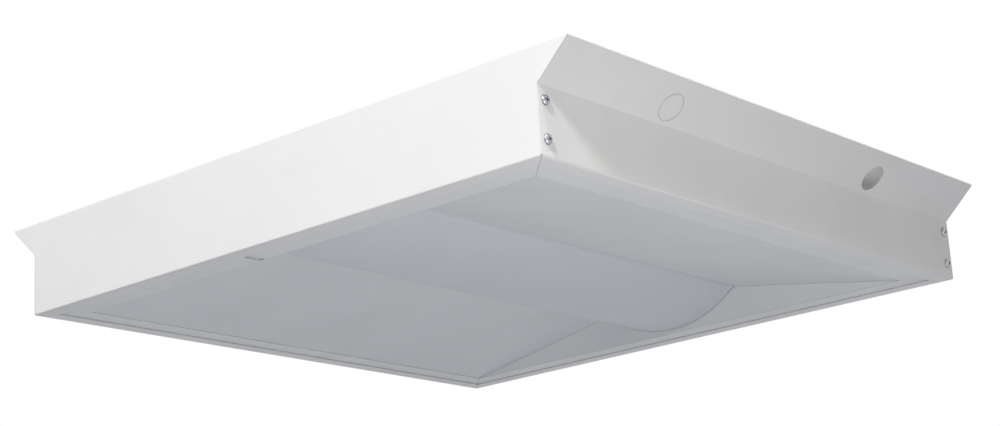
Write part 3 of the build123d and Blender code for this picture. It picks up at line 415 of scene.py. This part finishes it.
def wired(material, shader, surface, outputs):
    """Material with colour, roughness and normal joined to its surface."""
    for title, socket in outputs.items():
        shader.tree.links.new(socket, surface.inputs[title])
    return material


def placed_group(shader, tree, **values):
    """Node of a shared group with its own values."""
    inputs = {title.replace("_", " "): value for title, value in values.items()}
    return shader.add("ShaderNodeGroup", inputs, node_tree=tree)


def coat_sockets(node):
    """Surface sockets and the outputs of a shared group that feed them."""
    return {
        "Base Color": node.outputs["Colour"],
        "Roughness": node.outputs["Roughness"],
        "Normal": node.outputs["Normal"],
    }


def painted(name, paint, thin, dust, roughness, wear, seam_shade=0.8):
    """Powder coat or enamel on sheet steel, rubbed at its edges, with painted shade in its seams.
    """
    material, shader, surface = new_material(name, Specular_IOR_Level=0.5)
    edges = placed_group(shader, EDGE_WEAR_AND_SEAM_SHADE, Amount=wear, Dirt=seam_shade)
    coat = placed_group(
        shader,
        POWDER_COAT,
        Paint=paint,
        Thin_film=thin,
        Dust=dust,
        Roughness=roughness,
        Surface=edges.outputs["Normal"],
    )
    colour = shader.blend(edges.outputs["Mask"], coat.outputs["Colour"], RUBBED_STEEL)
    # Painted shade, darker in seams and closed-in corners.
    colour = shader.blend(edges.outputs["Seams"], colour, SEAM_SHADE)
    return wired(material, shader, surface, {**coat_sockets(coat), "Base Color": colour})


def plated(name, metal, film, roughness):
    """Bare or plated metal."""
    material, shader, surface = new_material(name, Metallic=1.0)
    coat = placed_group(shader, PLATED, Metal=metal, Film=film, Roughness=roughness)
    return wired(material, shader, surface, coat_sockets(coat))


def moulded(name, plastic, shade, roughness, streaks=0.3, **sockets):
    """Moulded or extruded plastic."""
    material, shader, surface = new_material(name, **sockets)
    grain = placed_group(
        shader, MOULDED, Plastic=plastic, Shade=shade, Streaks=streaks, Roughness=roughness
    )
    return wired(material, shader, surface, coat_sockets(grain))


frame_paint = painted(
    "frame_powder_coat",
    (0.80, 0.797, 0.79, 1),
    (0.78, 0.777, 0.77, 1),
    dust=0.15,
    roughness=0.42,
    wear=0.12,
    seam_shade=0.6,
)
housing_paint = painted(
    "housing_enamel",
    (0.77, 0.775, 0.78, 1),
    (0.75, 0.755, 0.76, 1),
    dust=0.3,
    roughness=0.40,
    wear=0.35,
)
reflector_paint = painted(
    "reflector_matt_white",
    (0.80, 0.803, 0.81, 1),
    (0.785, 0.788, 0.795, 1),
    dust=0.12,
    roughness=0.55,
    wear=0.0,
    seam_shade=0.35,
)
tray_paint = painted(
    "tray_enamel",
    (0.82, 0.82, 0.82, 1),
    (0.78, 0.78, 0.78, 1),
    dust=0.2,
    roughness=0.45,
    wear=0.3,
)
driver_paint = painted(
    "driver_enamel",
    (0.74, 0.74, 0.73, 1),
    (0.70, 0.70, 0.69, 1),
    dust=0.2,
    roughness=0.35,
    wear=0.5,
)
screw_zinc = plated("screw_zinc", (0.46, 0.47, 0.52, 1), (0.34, 0.35, 0.42, 1), 0.26)
rivet_aluminium = plated("rivet_aluminium", (0.76, 0.76, 0.77, 1), (0.68, 0.68, 0.69, 1), 0.3)
pin_steel = plated("pin_steel", (0.56, 0.56, 0.57, 1), (0.48, 0.48, 0.49, 1), 0.25)
spring_steel = plated("spring_steel", (0.42, 0.42, 0.44, 1), (0.34, 0.33, 0.34, 1), 0.3)
cap_plastic = moulded("cap_plastic", (0.74, 0.75, 0.77, 1), (0.71, 0.72, 0.74, 1), 0.45)
latch_plastic = moulded("latch_plastic", (0.72, 0.72, 0.72, 1), (0.68, 0.68, 0.68, 1), 0.4)
plug_plastic = moulded("plug_plastic", (0.80, 0.78, 0.70, 1), (0.76, 0.73, 0.65, 1), 0.42)
connector_plastic = moulded(
    "connector_plastic", (0.72, 0.66, 0.50, 1), (0.66, 0.58, 0.42, 1), 0.18
)
grommet_rubber = moulded("grommet_rubber", (0.03, 0.03, 0.03, 1), (0.05, 0.05, 0.05, 1), 0.62)
red_lead = moulded("red_lead", (0.42, 0.015, 0.015, 1), (0.36, 0.012, 0.012, 1), 0.36, 0.5)
black_lead = moulded("black_lead", (0.02, 0.02, 0.02, 1), (0.03, 0.03, 0.03, 1), 0.38, 0.5)
white_lead = moulded("white_lead", (0.74, 0.74, 0.72, 1), (0.70, 0.70, 0.67, 1), 0.38, 0.5)
green_lead = moulded("green_lead", (0.02, 0.19, 0.05, 1), (0.02, 0.16, 0.04, 1), 0.36, 0.5)
diffuser = moulded(
    "frosted_diffuser",
    (0.83, 0.843, 0.868, 1),
    (0.815, 0.83, 0.858, 1),
    0.5,
    0.2,
    Transmission_Weight=0.2,
    IOR=1.49,
)


def board_material():
    """White solder mask with the faint relief of copper tracks under it."""
    material, shader, surface = new_material("white_solder_mask", Coat_Weight=0.2)
    place = shader.add("ShaderNodeTexCoord").outputs["Object"]
    tracks = shader.add(
        "ShaderNodeTexBrick",
        {"Vector": place, "Scale": 46.0, "Mortar Size": 0.03, "Mortar Smooth": 0.3},
    ).outputs["Fac"]
    speckle = shader.noise(place, 700.0, 2.0)
    colour = shader.blend(tracks, (0.80, 0.81, 0.78, 1), (0.74, 0.76, 0.73, 1))
    outputs = {"Base Color": colour}
    outputs["Roughness"] = shader.ramp(speckle, 0.3, 0.7, 0.26, 0.36)
    outputs["Normal"] = shader.bump(tracks, TRACK_RELIEF)
    return wired(material, shader, surface, outputs)


def phosphor_material():
    """Yellow phosphor gel, a little lighter towards some of the packages."""
    material, shader, surface = new_material("phosphor_gel", Coat_Weight=0.4, IOR=1.45)
    place = shader.add("ShaderNodeTexCoord").outputs["Object"]
    drift = shader.noise(place, 22.0, 2.0)
    grains = shader.noise(place, 3500.0, 2.0)
    colour = shader.blend(drift, (0.80, 0.62, 0.10, 1), (0.86, 0.72, 0.22, 1))
    outputs = {"Base Color": colour}
    outputs["Roughness"] = shader.ramp(grains, 0.3, 0.7, 0.22, 0.4)
    return wired(material, shader, surface, outputs)


board_mask = board_material()
phosphor = phosphor_material()

NODE_MATERIALS = {
    frame_paint: ("side_panel_front", "side_panel_rear", "end_panel_left", "end_panel_right"),
    housing_paint: (
        "housing_shell",
        "housing_end_left",
        "housing_end_right",
        "latch_keeper",
        "wiring_cover",
    ),
    reflector_paint: (
        "reflector_front",
        "reflector_rear",
        "reflector_end_left",
        "reflector_end_right",
    ),
    tray_paint: ("led_tray", "tray_bracket_left", "tray_bracket_right"),
    driver_paint: ("driver_case",),
    screw_zinc: (
        "corner_screws",
        "bracket_screws",
        "board_screws",
        "driver_screws",
        "cover_screws",
    ),
    rivet_aluminium: ("housing_rivets", "reflector_rivets"),
    pin_steel: ("pivot_pins",),
    spring_steel: ("latch_spring",),
    cap_plastic: ("lens_cap_left", "lens_cap_right"),
    latch_plastic: ("latch_slide",),
    plug_plastic: ("board_plugs",),
    connector_plastic: ("push_connectors",),
    grommet_rubber: ("lead_grommet",),
    red_lead: ("led_lead_positive",),
    black_lead: ("led_lead_negative", "supply_lead_live"),
    white_lead: ("supply_lead_neutral", "board_jumper"),
    green_lead: ("supply_lead_earth",),
    diffuser: ("lens",),
    board_mask: ("led_board_front", "led_board_rear"),
    phosphor: ("led_packages_front", "led_packages_rear"),
}
for material, names in NODE_MATERIALS.items():
    for name in names:
        NODES[name].data.materials.clear()
        NODES[name].data.materials.append(material)


# ---- fasteners ----
def recessed_screw(head_r, head_height, shank_r, length, recess_r, sides=72):
    """Pan-head screw standing on z = 0, with a cross recess and a cut thread.

    Head: height (1 - (r / R) ** 2.6) ** (1 / 2.6), less the recess, which lies where the
    smaller of |x| and |y| is under an arm's half width, and grows shallower outwards.
    Shank: its radius rises and falls by a triangle wave of z / pitch + angle / (2 pi).
    """
    angle = np.arange(sides) * 2 * math.pi / sides
    reach = np.concatenate([np.linspace(0, recess_r, 15), np.linspace(recess_r, head_r, 12)[1:]])
    radius = reach[:, None]
    x = radius * np.cos(angle)
    y = radius * np.sin(angle)
    crown = head_height * (1 - (radius / head_r) ** 2.6) ** (1 / 2.6)
    near = np.minimum(abs(x), abs(y))
    far = np.maximum(abs(x), abs(y))
    arm = np.clip((0.17 * recess_r - near) / (0.07 * recess_r), 0, 1)
    taper = np.clip(1 - far / recess_r, 0, 1) ** 0.5
    top = np.stack([x, y, crown - 0.75 * head_height * arm * taper], axis=-1)
    depth = np.linspace(0, length, 30)[:, None]
    pitch = 0.45 * shank_r
    wave = abs(2 * ((depth / pitch + angle / (2 * math.pi)) % 1) - 1)
    thin = np.clip(depth / length, 0, 1) ** 12
    shank = shank_r * (1 - 0.16 * wave) * (1 - 0.9 * thin)
    side = np.stack([shank * np.cos(angle), shank * np.sin(angle), -depth + 0 * angle], axis=-1)
    tip = np.zeros((1, sides, 3))
    tip[..., 2] = -length
    points = np.concatenate([top, side, tip])
    return points.reshape(-1, 3), grid_faces(len(points), sides, close_columns=True)


def pop_rivet(head_r, head_height, shank_r, grip):
    """Blind rivet standing on z = 0: domed flange, broken mandrel, and spread tail."""
    profile = [
        (0, 0.55 * head_height),
        (0.22 * head_r, 0.55 * head_height),
        (0.24 * head_r, 0.3 * head_height),
        (0.31 * head_r, 0.3 * head_height),
        (0.35 * head_r, 0.95 * head_height),
        (0.42 * head_r, head_height),
        (0.60 * head_r, 0.93 * head_height),
        (0.78 * head_r, 0.72 * head_height),
        (0.92 * head_r, 0.42 * head_height),
        (head_r, 0.12 * head_height),
        (head_r, 0),
        (shank_r, 0),
        (shank_r, -grip),
        (1.35 * shank_r, -grip - 0.35 * shank_r),
        (1.3 * shank_r, -grip - 0.8 * shank_r),
        (0.7 * shank_r, -grip - 1.1 * shank_r),
        (0, -grip - 1.1 * shank_r),
    ]
    return turned(profile, 24)


UP = (0, 0, 1)
DOWN = (0, 0, -1)
ENDS = (-1, 1)


def fasten(name, node, fastener, seats, material, slot):
    """Group of the same fastener on its seats: each a place and the way its head faces."""
    turns = [FIRST_SPIN + SPIN_STEP * i for i in range(len(seats))]
    matrices = [aimed(place, way, spin) for (place, way), spin in zip(seats, turns)]
    mesh = copies(*fastener, matrices)
    piece(name, mesh, material, replaces=(node,))


SMALL_SCREW = {
    "head_r": 2.8 * MM,
    "head_height": 1.6 * MM,
    "shank_r": 1.45 * MM,
    "recess_r": 1.7 * MM,
    "sides": 48,
}
RIVET = {"head_r": 3.2 * MM, "head_height": 1.1 * MM, "shank_r": 1.6 * MM}
corner_screw = recessed_screw(
    head_r=4.4 * MM, head_height=2.6 * MM, shank_r=1.75 * MM, length=7.0 * MM, recess_r=2.5 * MM
)
small_screw = recessed_screw(length=3.7 * MM, **SMALL_SCREW)
long_small_screw = recessed_screw(length=4.5 * MM, **SMALL_SCREW)
housing_rivet = pop_rivet(grip=1.4 * MM, **RIVET)
upstand_rivet = pop_rivet(grip=1.3 * MM, **RIVET)

corner_seats = [
    ((end * (FRAME_HALF - CORNER_SCREW_INSET), side * FRAME_HALF, LIP_Z + height), (0, side, 0))
    for side in ENDS
    for end in ENDS
    for height in CORNER_SCREW_HEIGHTS
]
cover_seats = [((end * COVER_SCREW_X, COVER_Y, COVER_TOP), UP) for end in ENDS]
driver_seats = [((end * DRIVER_SCREW_X, DRIVER_Y, HOUSING_TOP), UP) for end in ENDS]
bracket_seats = [
    ((end * BRACKET_X + step * BRACKET_SCREW_X, side * BRACKET_SCREW_Y, HOUSING_TOP), UP)
    for end in ENDS
    for step in ENDS
    for side in ENDS
]
bracket_seats += [((end * BRACKET_X, 0, TRAY_Z), DOWN) for end in ENDS]
board_seats = [
    ((end * BOARD_SCREW_X / share, side * (BOARD_Y + BOARD_SCREW_SPARE), BOARD_Z), DOWN)
    for end in ENDS
    for share in (1, 3)
    for side in ENDS
]
rivet_x = HOUSING_HALF - RIVET_INSET
housing_seats = [
    ((end * rivet_x, row * ROOF_RIVET_Y, HOUSING_TOP), UP) for end in ENDS for row in (-1, 0, 1)
]
housing_seats += [
    ((end * rivet_x, side * HOUSING_HALF, LIP_Z + height), (0, side, 0))
    for end in ENDS
    for side in ENDS
    for height in WALL_RIVET_HEIGHTS
]
upstand_z = sum(corner.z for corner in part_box("reflector_rivets")) / 2
upstand_seats = [
    ((row * UPSTAND_RIVET_X, side * abs(UPSTAND_Y), upstand_z), (0, -side, 0))
    for side in ENDS
    for row in (-1, 0, 1)
]
ZINC_SCREWS = (
    ("corner_pan_screws", "corner_screws", corner_screw, corner_seats),
    ("cover_pan_screws", "cover_screws", long_small_screw, cover_seats),
    ("driver_pan_screws", "driver_screws", small_screw, driver_seats),
    ("bracket_pan_screws", "bracket_screws", small_screw, bracket_seats),
    ("board_pan_screws", "board_screws", long_small_screw, board_seats),
)
POP_RIVETS = (
    ("housing_pop_rivets", "housing_rivets", housing_rivet, housing_seats),
    ("reflector_pop_rivets", "reflector_rivets", upstand_rivet, upstand_seats),
)
for group in ZINC_SCREWS:
    fasten(*group, screw_zinc, "screw_zinc")
for group in POP_RIVETS:
    fasten(*group, rivet_aluminium, "rivet_aluminium")


# ---- lens ----
def bowed_section(half, wall, low, edge, top, rim, steps=72):
    """Outer and inner line of the lens section, as points of Y and Z.

    Both are arcs y = R sin a, z = c - R cos a between their edges, with upright ends. The
    outer line has a rounded rim at each edge, a half ellipse that reaches out by its width.
    """
    sag = edge - low
    outer_r = (half ** 2 + sag ** 2) / (2 * sag)
    centre = low + outer_r
    lines = []
    for radius, side in ((outer_r, half), (outer_r - wall, half - wall)):
        angle = np.linspace(-1, 1, steps) * math.asin(side / radius)
        arc = np.column_stack([radius * np.sin(angle), centre - radius * np.cos(angle)])
        rise = np.linspace(0, 1, 12)[1:, None]
        right = arc[-1] + rise * (np.array([side, top]) - arc[-1])
        if side == half:
            turn = np.linspace(0, math.pi, 10)
            height = edge + 0.6 * rim * (1 - np.cos(turn))
            bulge = np.column_stack([half + rim * np.sin(turn), height])
            right = np.concatenate([bulge[1:], right[-2:]])
        left = right[::-1] * (-1, 1)
        lines.append(np.concatenate([left, arc, right]))
    return lines


def extruded_strip(outer, inner, low, high, steps):
    """Closed strip between two section lines, run along X with faces at both ends."""
    count = len(outer)
    loop = np.concatenate([outer, inner[::-1]])
    x = np.linspace(low, high, steps)
    points = np.stack(
        [
            np.broadcast_to(x[:, None], (steps, len(loop))),
            np.broadcast_to(loop[:, 0], (steps, len(loop))),
            np.broadcast_to(loop[:, 1], (steps, len(loop))),
        ],
        axis=-1,
    )
    shell = points.reshape(-1, 3), grid_faces(steps, len(loop), close_columns=True)
    ends = []
    for row in (points[0], points[-1]):
        pair = np.stack([row[:count], row[count:][::-1]])
        ends.append((pair.reshape(-1, 3), grid_faces(2, count)))
    return stacked(shell, *ends)


lens_edge = LENS_HIGH.z - LENS_UPSTAND
section = bowed_section(LENS_HIGH.y, LENS_WALL, LENS_LOW.z, lens_edge, LENS_HIGH.z, LENS_RIM)
piece(
    "bowed_lens",
    extruded_strip(*section, LENS_LOW.x, LENS_HIGH.x, steps=9),
    diffuser,
    body="lens_door",
    replaces=("lens",),
)


# ---- light sources ----
def eighth_turned(mesh):
    """The same mesh turned by an eighth of a turn about Z."""
    points, faces = mesh
    turn = np.array(Matrix.Rotation(math.radians(45), 3, "Z"))
    return points @ turn.T, faces


led_corner = LED_HALF * math.sqrt(2)
led_body = eighth_turned(
    turned(
        [
            (0, 0),
            (led_corner, 0),
            (led_corner, 0.6 * LED_HEIGHT),
            (0.94 * led_corner, LED_HEIGHT),
            (0.78 * led_corner, LED_HEIGHT),
            (0.74 * led_corner, 0.8 * LED_HEIGHT),
            (0, 0.8 * LED_HEIGHT),
        ],
        4,
    )
)
led_window = turned(
    [
        (0, 0.96 * LED_HEIGHT),
        (0.5 * LED_HALF, 0.93 * LED_HEIGHT),
        (0.72 * LED_HALF, 0.85 * LED_HEIGHT),
        (0.78 * LED_HALF, 0.78 * LED_HEIGHT),
        (0, 0.78 * LED_HEIGHT),
    ],
    12,
)
led_pitch = 2 * BOARD_END / LED_COUNT
for side, row in ((-1, "front"), (1, "rear")):
    spots = [(i + 0.5) * led_pitch - BOARD_END for i in range(LED_COUNT)]
    matrices = [aimed((x, side * BOARD_Y, BOARD_Z), DOWN) for x in spots]
    piece(
        f"led_bodies_{row}",
        copies(*led_body, matrices),
        plug_plastic,
        replaces=(f"led_packages_{row}",),
        smooth=False,
    )
    piece(f"led_windows_{row}", copies(*led_window, matrices), phosphor)


# ---- latch ----
def grip_ribs(low, high, face, count):
    """Half-round ribs across a thumb tab: each is a bar whose section is half a circle."""
    pitch = (high.x - low.x) / count
    radius = 0.3 * pitch
    angle = np.linspace(0, math.pi, 9)
    section = np.column_stack([-radius * np.cos(angle), -0.6 * radius * np.sin(angle)])
    inset = 0.5 * MM
    stations = (
        (low.y + inset, 0.2),
        (low.y + 2 * inset, 1),
        (high.y - 2 * inset, 1),
        (high.y - inset, 0.2),
    )
    meshes = []
    for i in range(count):
        centre = low.x + (i + 0.5) * pitch
        ring = np.column_stack([centre + section[:, 0], face + section[:, 1]])
        rows = []
        for y, share in stations:
            z = face + (ring[:, 1] - face) * share
            rows.append(np.column_stack([ring[:, 0], np.full(len(ring), y), z]))
        points = np.concatenate(rows)
        meshes.append((points, grid_faces(len(rows), len(ring), close_columns=True)))
    return stacked(*meshes)


TAB_LOW = Vector((LATCH_LOW.x + TAB_START, LATCH_LOW.y + TAB_MARGIN, LATCH_LOW.z))
TAB_HIGH = Vector((LATCH_LOW.x + TAB_END, LATCH_HIGH.y - TAB_MARGIN, LATCH_LOW.z))
piece(
    "latch_grip_ribs",
    grip_ribs(TAB_LOW, TAB_HIGH, LATCH_LOW.z, TAB_RIBS),
    latch_plastic,
    body="latch",
)


def mitred_offset(line, distance):
    """Line at a distance to the left of a broken line, its corners mitred.

    At a corner with unit normals m and n the shift is distance * (m + n) / (1 + m . n).
    """
    way = np.diff(line, axis=0)
    way /= np.linalg.norm(way, axis=1)[:, None]
    normal = np.column_stack([-way[:, 1], way[:, 0]])
    before, after = normal[:-1], normal[1:]
    inner = (before + after) / (1 + np.sum(before * after, axis=1))[:, None]
    return line + distance * np.concatenate([normal[:1], inner, normal[-1:]])


def rounded_line(line, radii, steps=7):
    """Broken line with an arc of its own radius in place of each inner corner."""
    points = [line[:1]]
    for a, corner, b, radius in zip(line, line[1:], line[2:], radii):
        back = (a - corner) / np.linalg.norm(a - corner)
        on = (b - corner) / np.linalg.norm(b - corner)
        half = math.acos(back @ on) / 2
        centre = corner + (back + on) / np.linalg.norm(back + on) * radius / math.sin(half)
        reach = radius / math.tan(half)
        start, end = corner + back * reach - centre, corner + on * reach - centre
        sweep = math.pi - 2 * half
        share = np.linspace(0, 1, steps)[:, None]
        arc = (np.sin((1 - share) * sweep) * start + np.sin(share * sweep) * end) / math.sin(sweep)
        points.append(centre + arc)
    return np.concatenate([*points, line[-1:]])


def folded_strip(low, high, middle):
    """Flat spring of three legs that zigzag between two pads standing across X."""
    back, front = low.x + SPRING_STRIP, high.x
    near, far = middle - SPRING_WIDTH / 2, middle + SPRING_WIDTH / 2
    step = (front - back) / 3
    folds = [(back, far), (back + step, near), (back + 2 * step, far), (front, near)]
    line = np.array([(back, near), *folds, (front, far)])
    tight, wide = SPRING_BEND, SPRING_BEND + SPRING_STRIP
    radii = (tight, wide, tight, wide)
    one = rounded_line(line, radii)
    other = rounded_line(mitred_offset(line, SPRING_STRIP), radii[::-1])
    points, faces = extruded_strip(one, other, low.z, high.z, steps=3)
    return points[:, [1, 2, 0]], faces


# The spring stays on the fixture.
spring = piece(
    "folded_latch_spring",
    folded_strip(SPRING_LOW, SPRING_HIGH, (LATCH_LOW.y + LATCH_HIGH.y) / 2),
    spring_steel,
    replaces=("latch_spring",),
)
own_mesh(spring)


# ---- camera, light and surroundings ----
WORLD_LOW = (0.285, 0.298, 0.335, 1)
WORLD_HIGH = (0.42, 0.41, 0.39, 1)
WORLD_TOP = (0.08, 0.08, 0.08, 1)
WORLD_FRONT = (0.02, 0.01, 0.0, 1)
FLOOR_GLOW = (0.285, 0.298, 0.33, 1)
FLOOR_TONE = (0.1, 0.1, 0.1, 1)
FLOOR_SEEN_TONE = (0.8, 0.8, 0.8, 1)
FLOOR_SEEN_GLOW = (0.7, 0.7, 0.7, 1)
FLOOR_Z = -6.0
FLOOR_HALF = 40.0
SENSOR_WIDTH = 36.0
FOCAL_LENGTH = 74.26
CAMERA_MATRIX = (
    (0.65724, -0.17261, -0.73365, -1.4541),
    (-0.75153, -0.22355, -0.62067, -1.2337),
    (-0.05687, 0.95929, -0.27665, -0.5555),
    (0, 0, 0, 1),
)

# Name, place, point aimed at, size, watts and colour. The hollow lamp is inside the front
# side panel, and faces up.
LAMPS = (
    ("window", (-2.60, -0.97, 2.19), (-0.2, -0.1, -0.05), (0.5, 0.5), 100.0, (1, 1, 1)),
    ("skylight", (-0.77, -1.24, 2.65), (-0.2, -0.2, -0.05), (0.06, 0.06), 28.0, (1, 1, 1)),
    ("near", (-0.54, -0.87, -0.56), (0, 0, -0.06), (0.25, 0.25), 2.8, (1, 0.985, 0.97)),
    ("hollow", (0.155, -0.2995, -0.026), (0.155, -0.2995, 0.1), (0.25, 0.018), 0.012, (1, 1, 1)),
)


def make_camera():
    """Camera below the left front corner, as the photograph was taken."""
    data = bpy.data.cameras.new("camera")
    data.sensor_width = SENSOR_WIDTH
    data.lens = FOCAL_LENGTH
    camera = bpy.data.objects.new("camera", data)
    bpy.context.scene.collection.objects.link(camera)
    camera.matrix_world = Matrix(CAMERA_MATRIX)
    bpy.context.scene.camera = camera


def seen_blend(shader, unseen, shown):
    """First colour for diffuse rays, second where cameras, gloss or glass look at it."""
    rays = shader.add("ShaderNodeLightPath").outputs
    seen = shader.maths("MAXIMUM", rays["Is Camera Ray"], rays["Is Glossy Ray"])
    seen = shader.maths("MAXIMUM", seen, rays["Is Transmission Ray"])
    return shader.blend(seen, unseen, shown)


def make_world():
    """Soft surroundings: one tone below, one above, a dark one overhead, a glow in front."""
    world = bpy.data.worlds.new("studio")
    bpy.context.scene.world = world
    world.use_nodes = True
    shader = Shader(world.node_tree)
    background = world.node_tree.nodes["Background"]
    way = shader.add("ShaderNodeTexCoord").outputs["Generated"]
    parts = shader.add("ShaderNodeSeparateXYZ", {0: way}).outputs
    soft = shader.blend(shader.ramp(parts["Z"], -0.4, 0.4), WORLD_LOW, WORLD_HIGH)
    soft = shader.blend(shader.ramp(parts["Z"], 0.4, 0.8), soft, WORLD_TOP)
    front = shader.ramp(parts["Y"], -0.2, -1.0)
    soft = shader.blend(front, soft, WORLD_FRONT, "ADD")
    colour = seen_blend(shader, soft, WHITE)
    world.node_tree.links.new(colour, background.inputs["Color"])


def make_floor():
    """Plain floor far below: pale where it is seen, dark but glowing to diffuse rays."""
    corners = np.array([(-1, -1), (1, -1), (1, 1), (-1, 1)]) * FLOOR_HALF
    points = np.column_stack([corners, np.full(4, FLOOR_Z)])
    data = bpy.data.meshes.new("floor")
    data.from_pydata(points.tolist(), [], [(0, 1, 2, 3)])
    floor = bpy.data.objects.new("floor", data)
    bpy.context.scene.collection.objects.link(floor)
    material, shader, surface = new_material("floor_white", Roughness=0.9)
    pale = seen_blend(shader, FLOOR_TONE, FLOOR_SEEN_TONE)
    shader.tree.links.new(pale, surface.inputs["Base Color"])
    glow = seen_blend(shader, FLOOR_GLOW, FLOOR_SEEN_GLOW)
    shader.tree.links.new(glow, surface.inputs["Emission Color"])
    surface.inputs["Emission Strength"].default_value = 1.0
    data.materials.append(material)


def area_light(name, place, aim, size, power, colour):
    """Flat soft light at a place, facing a point."""
    data = bpy.data.lights.new(name, "AREA")
    data.shape = "RECTANGLE"
    data.size, data.size_y = size
    data.energy = power
    data.color = colour
    light = bpy.data.objects.new(name, data)
    bpy.context.scene.collection.objects.link(light)
    light.location = place
    light.rotation_euler = (Vector(aim) - Vector(place)).to_track_quat("-Z", "Y").to_euler()


make_camera()
make_world()
make_floor()
for lamp in LAMPS:
    area_light(*lamp)

bpy.context.scene.view_settings.view_transform = "Standard"
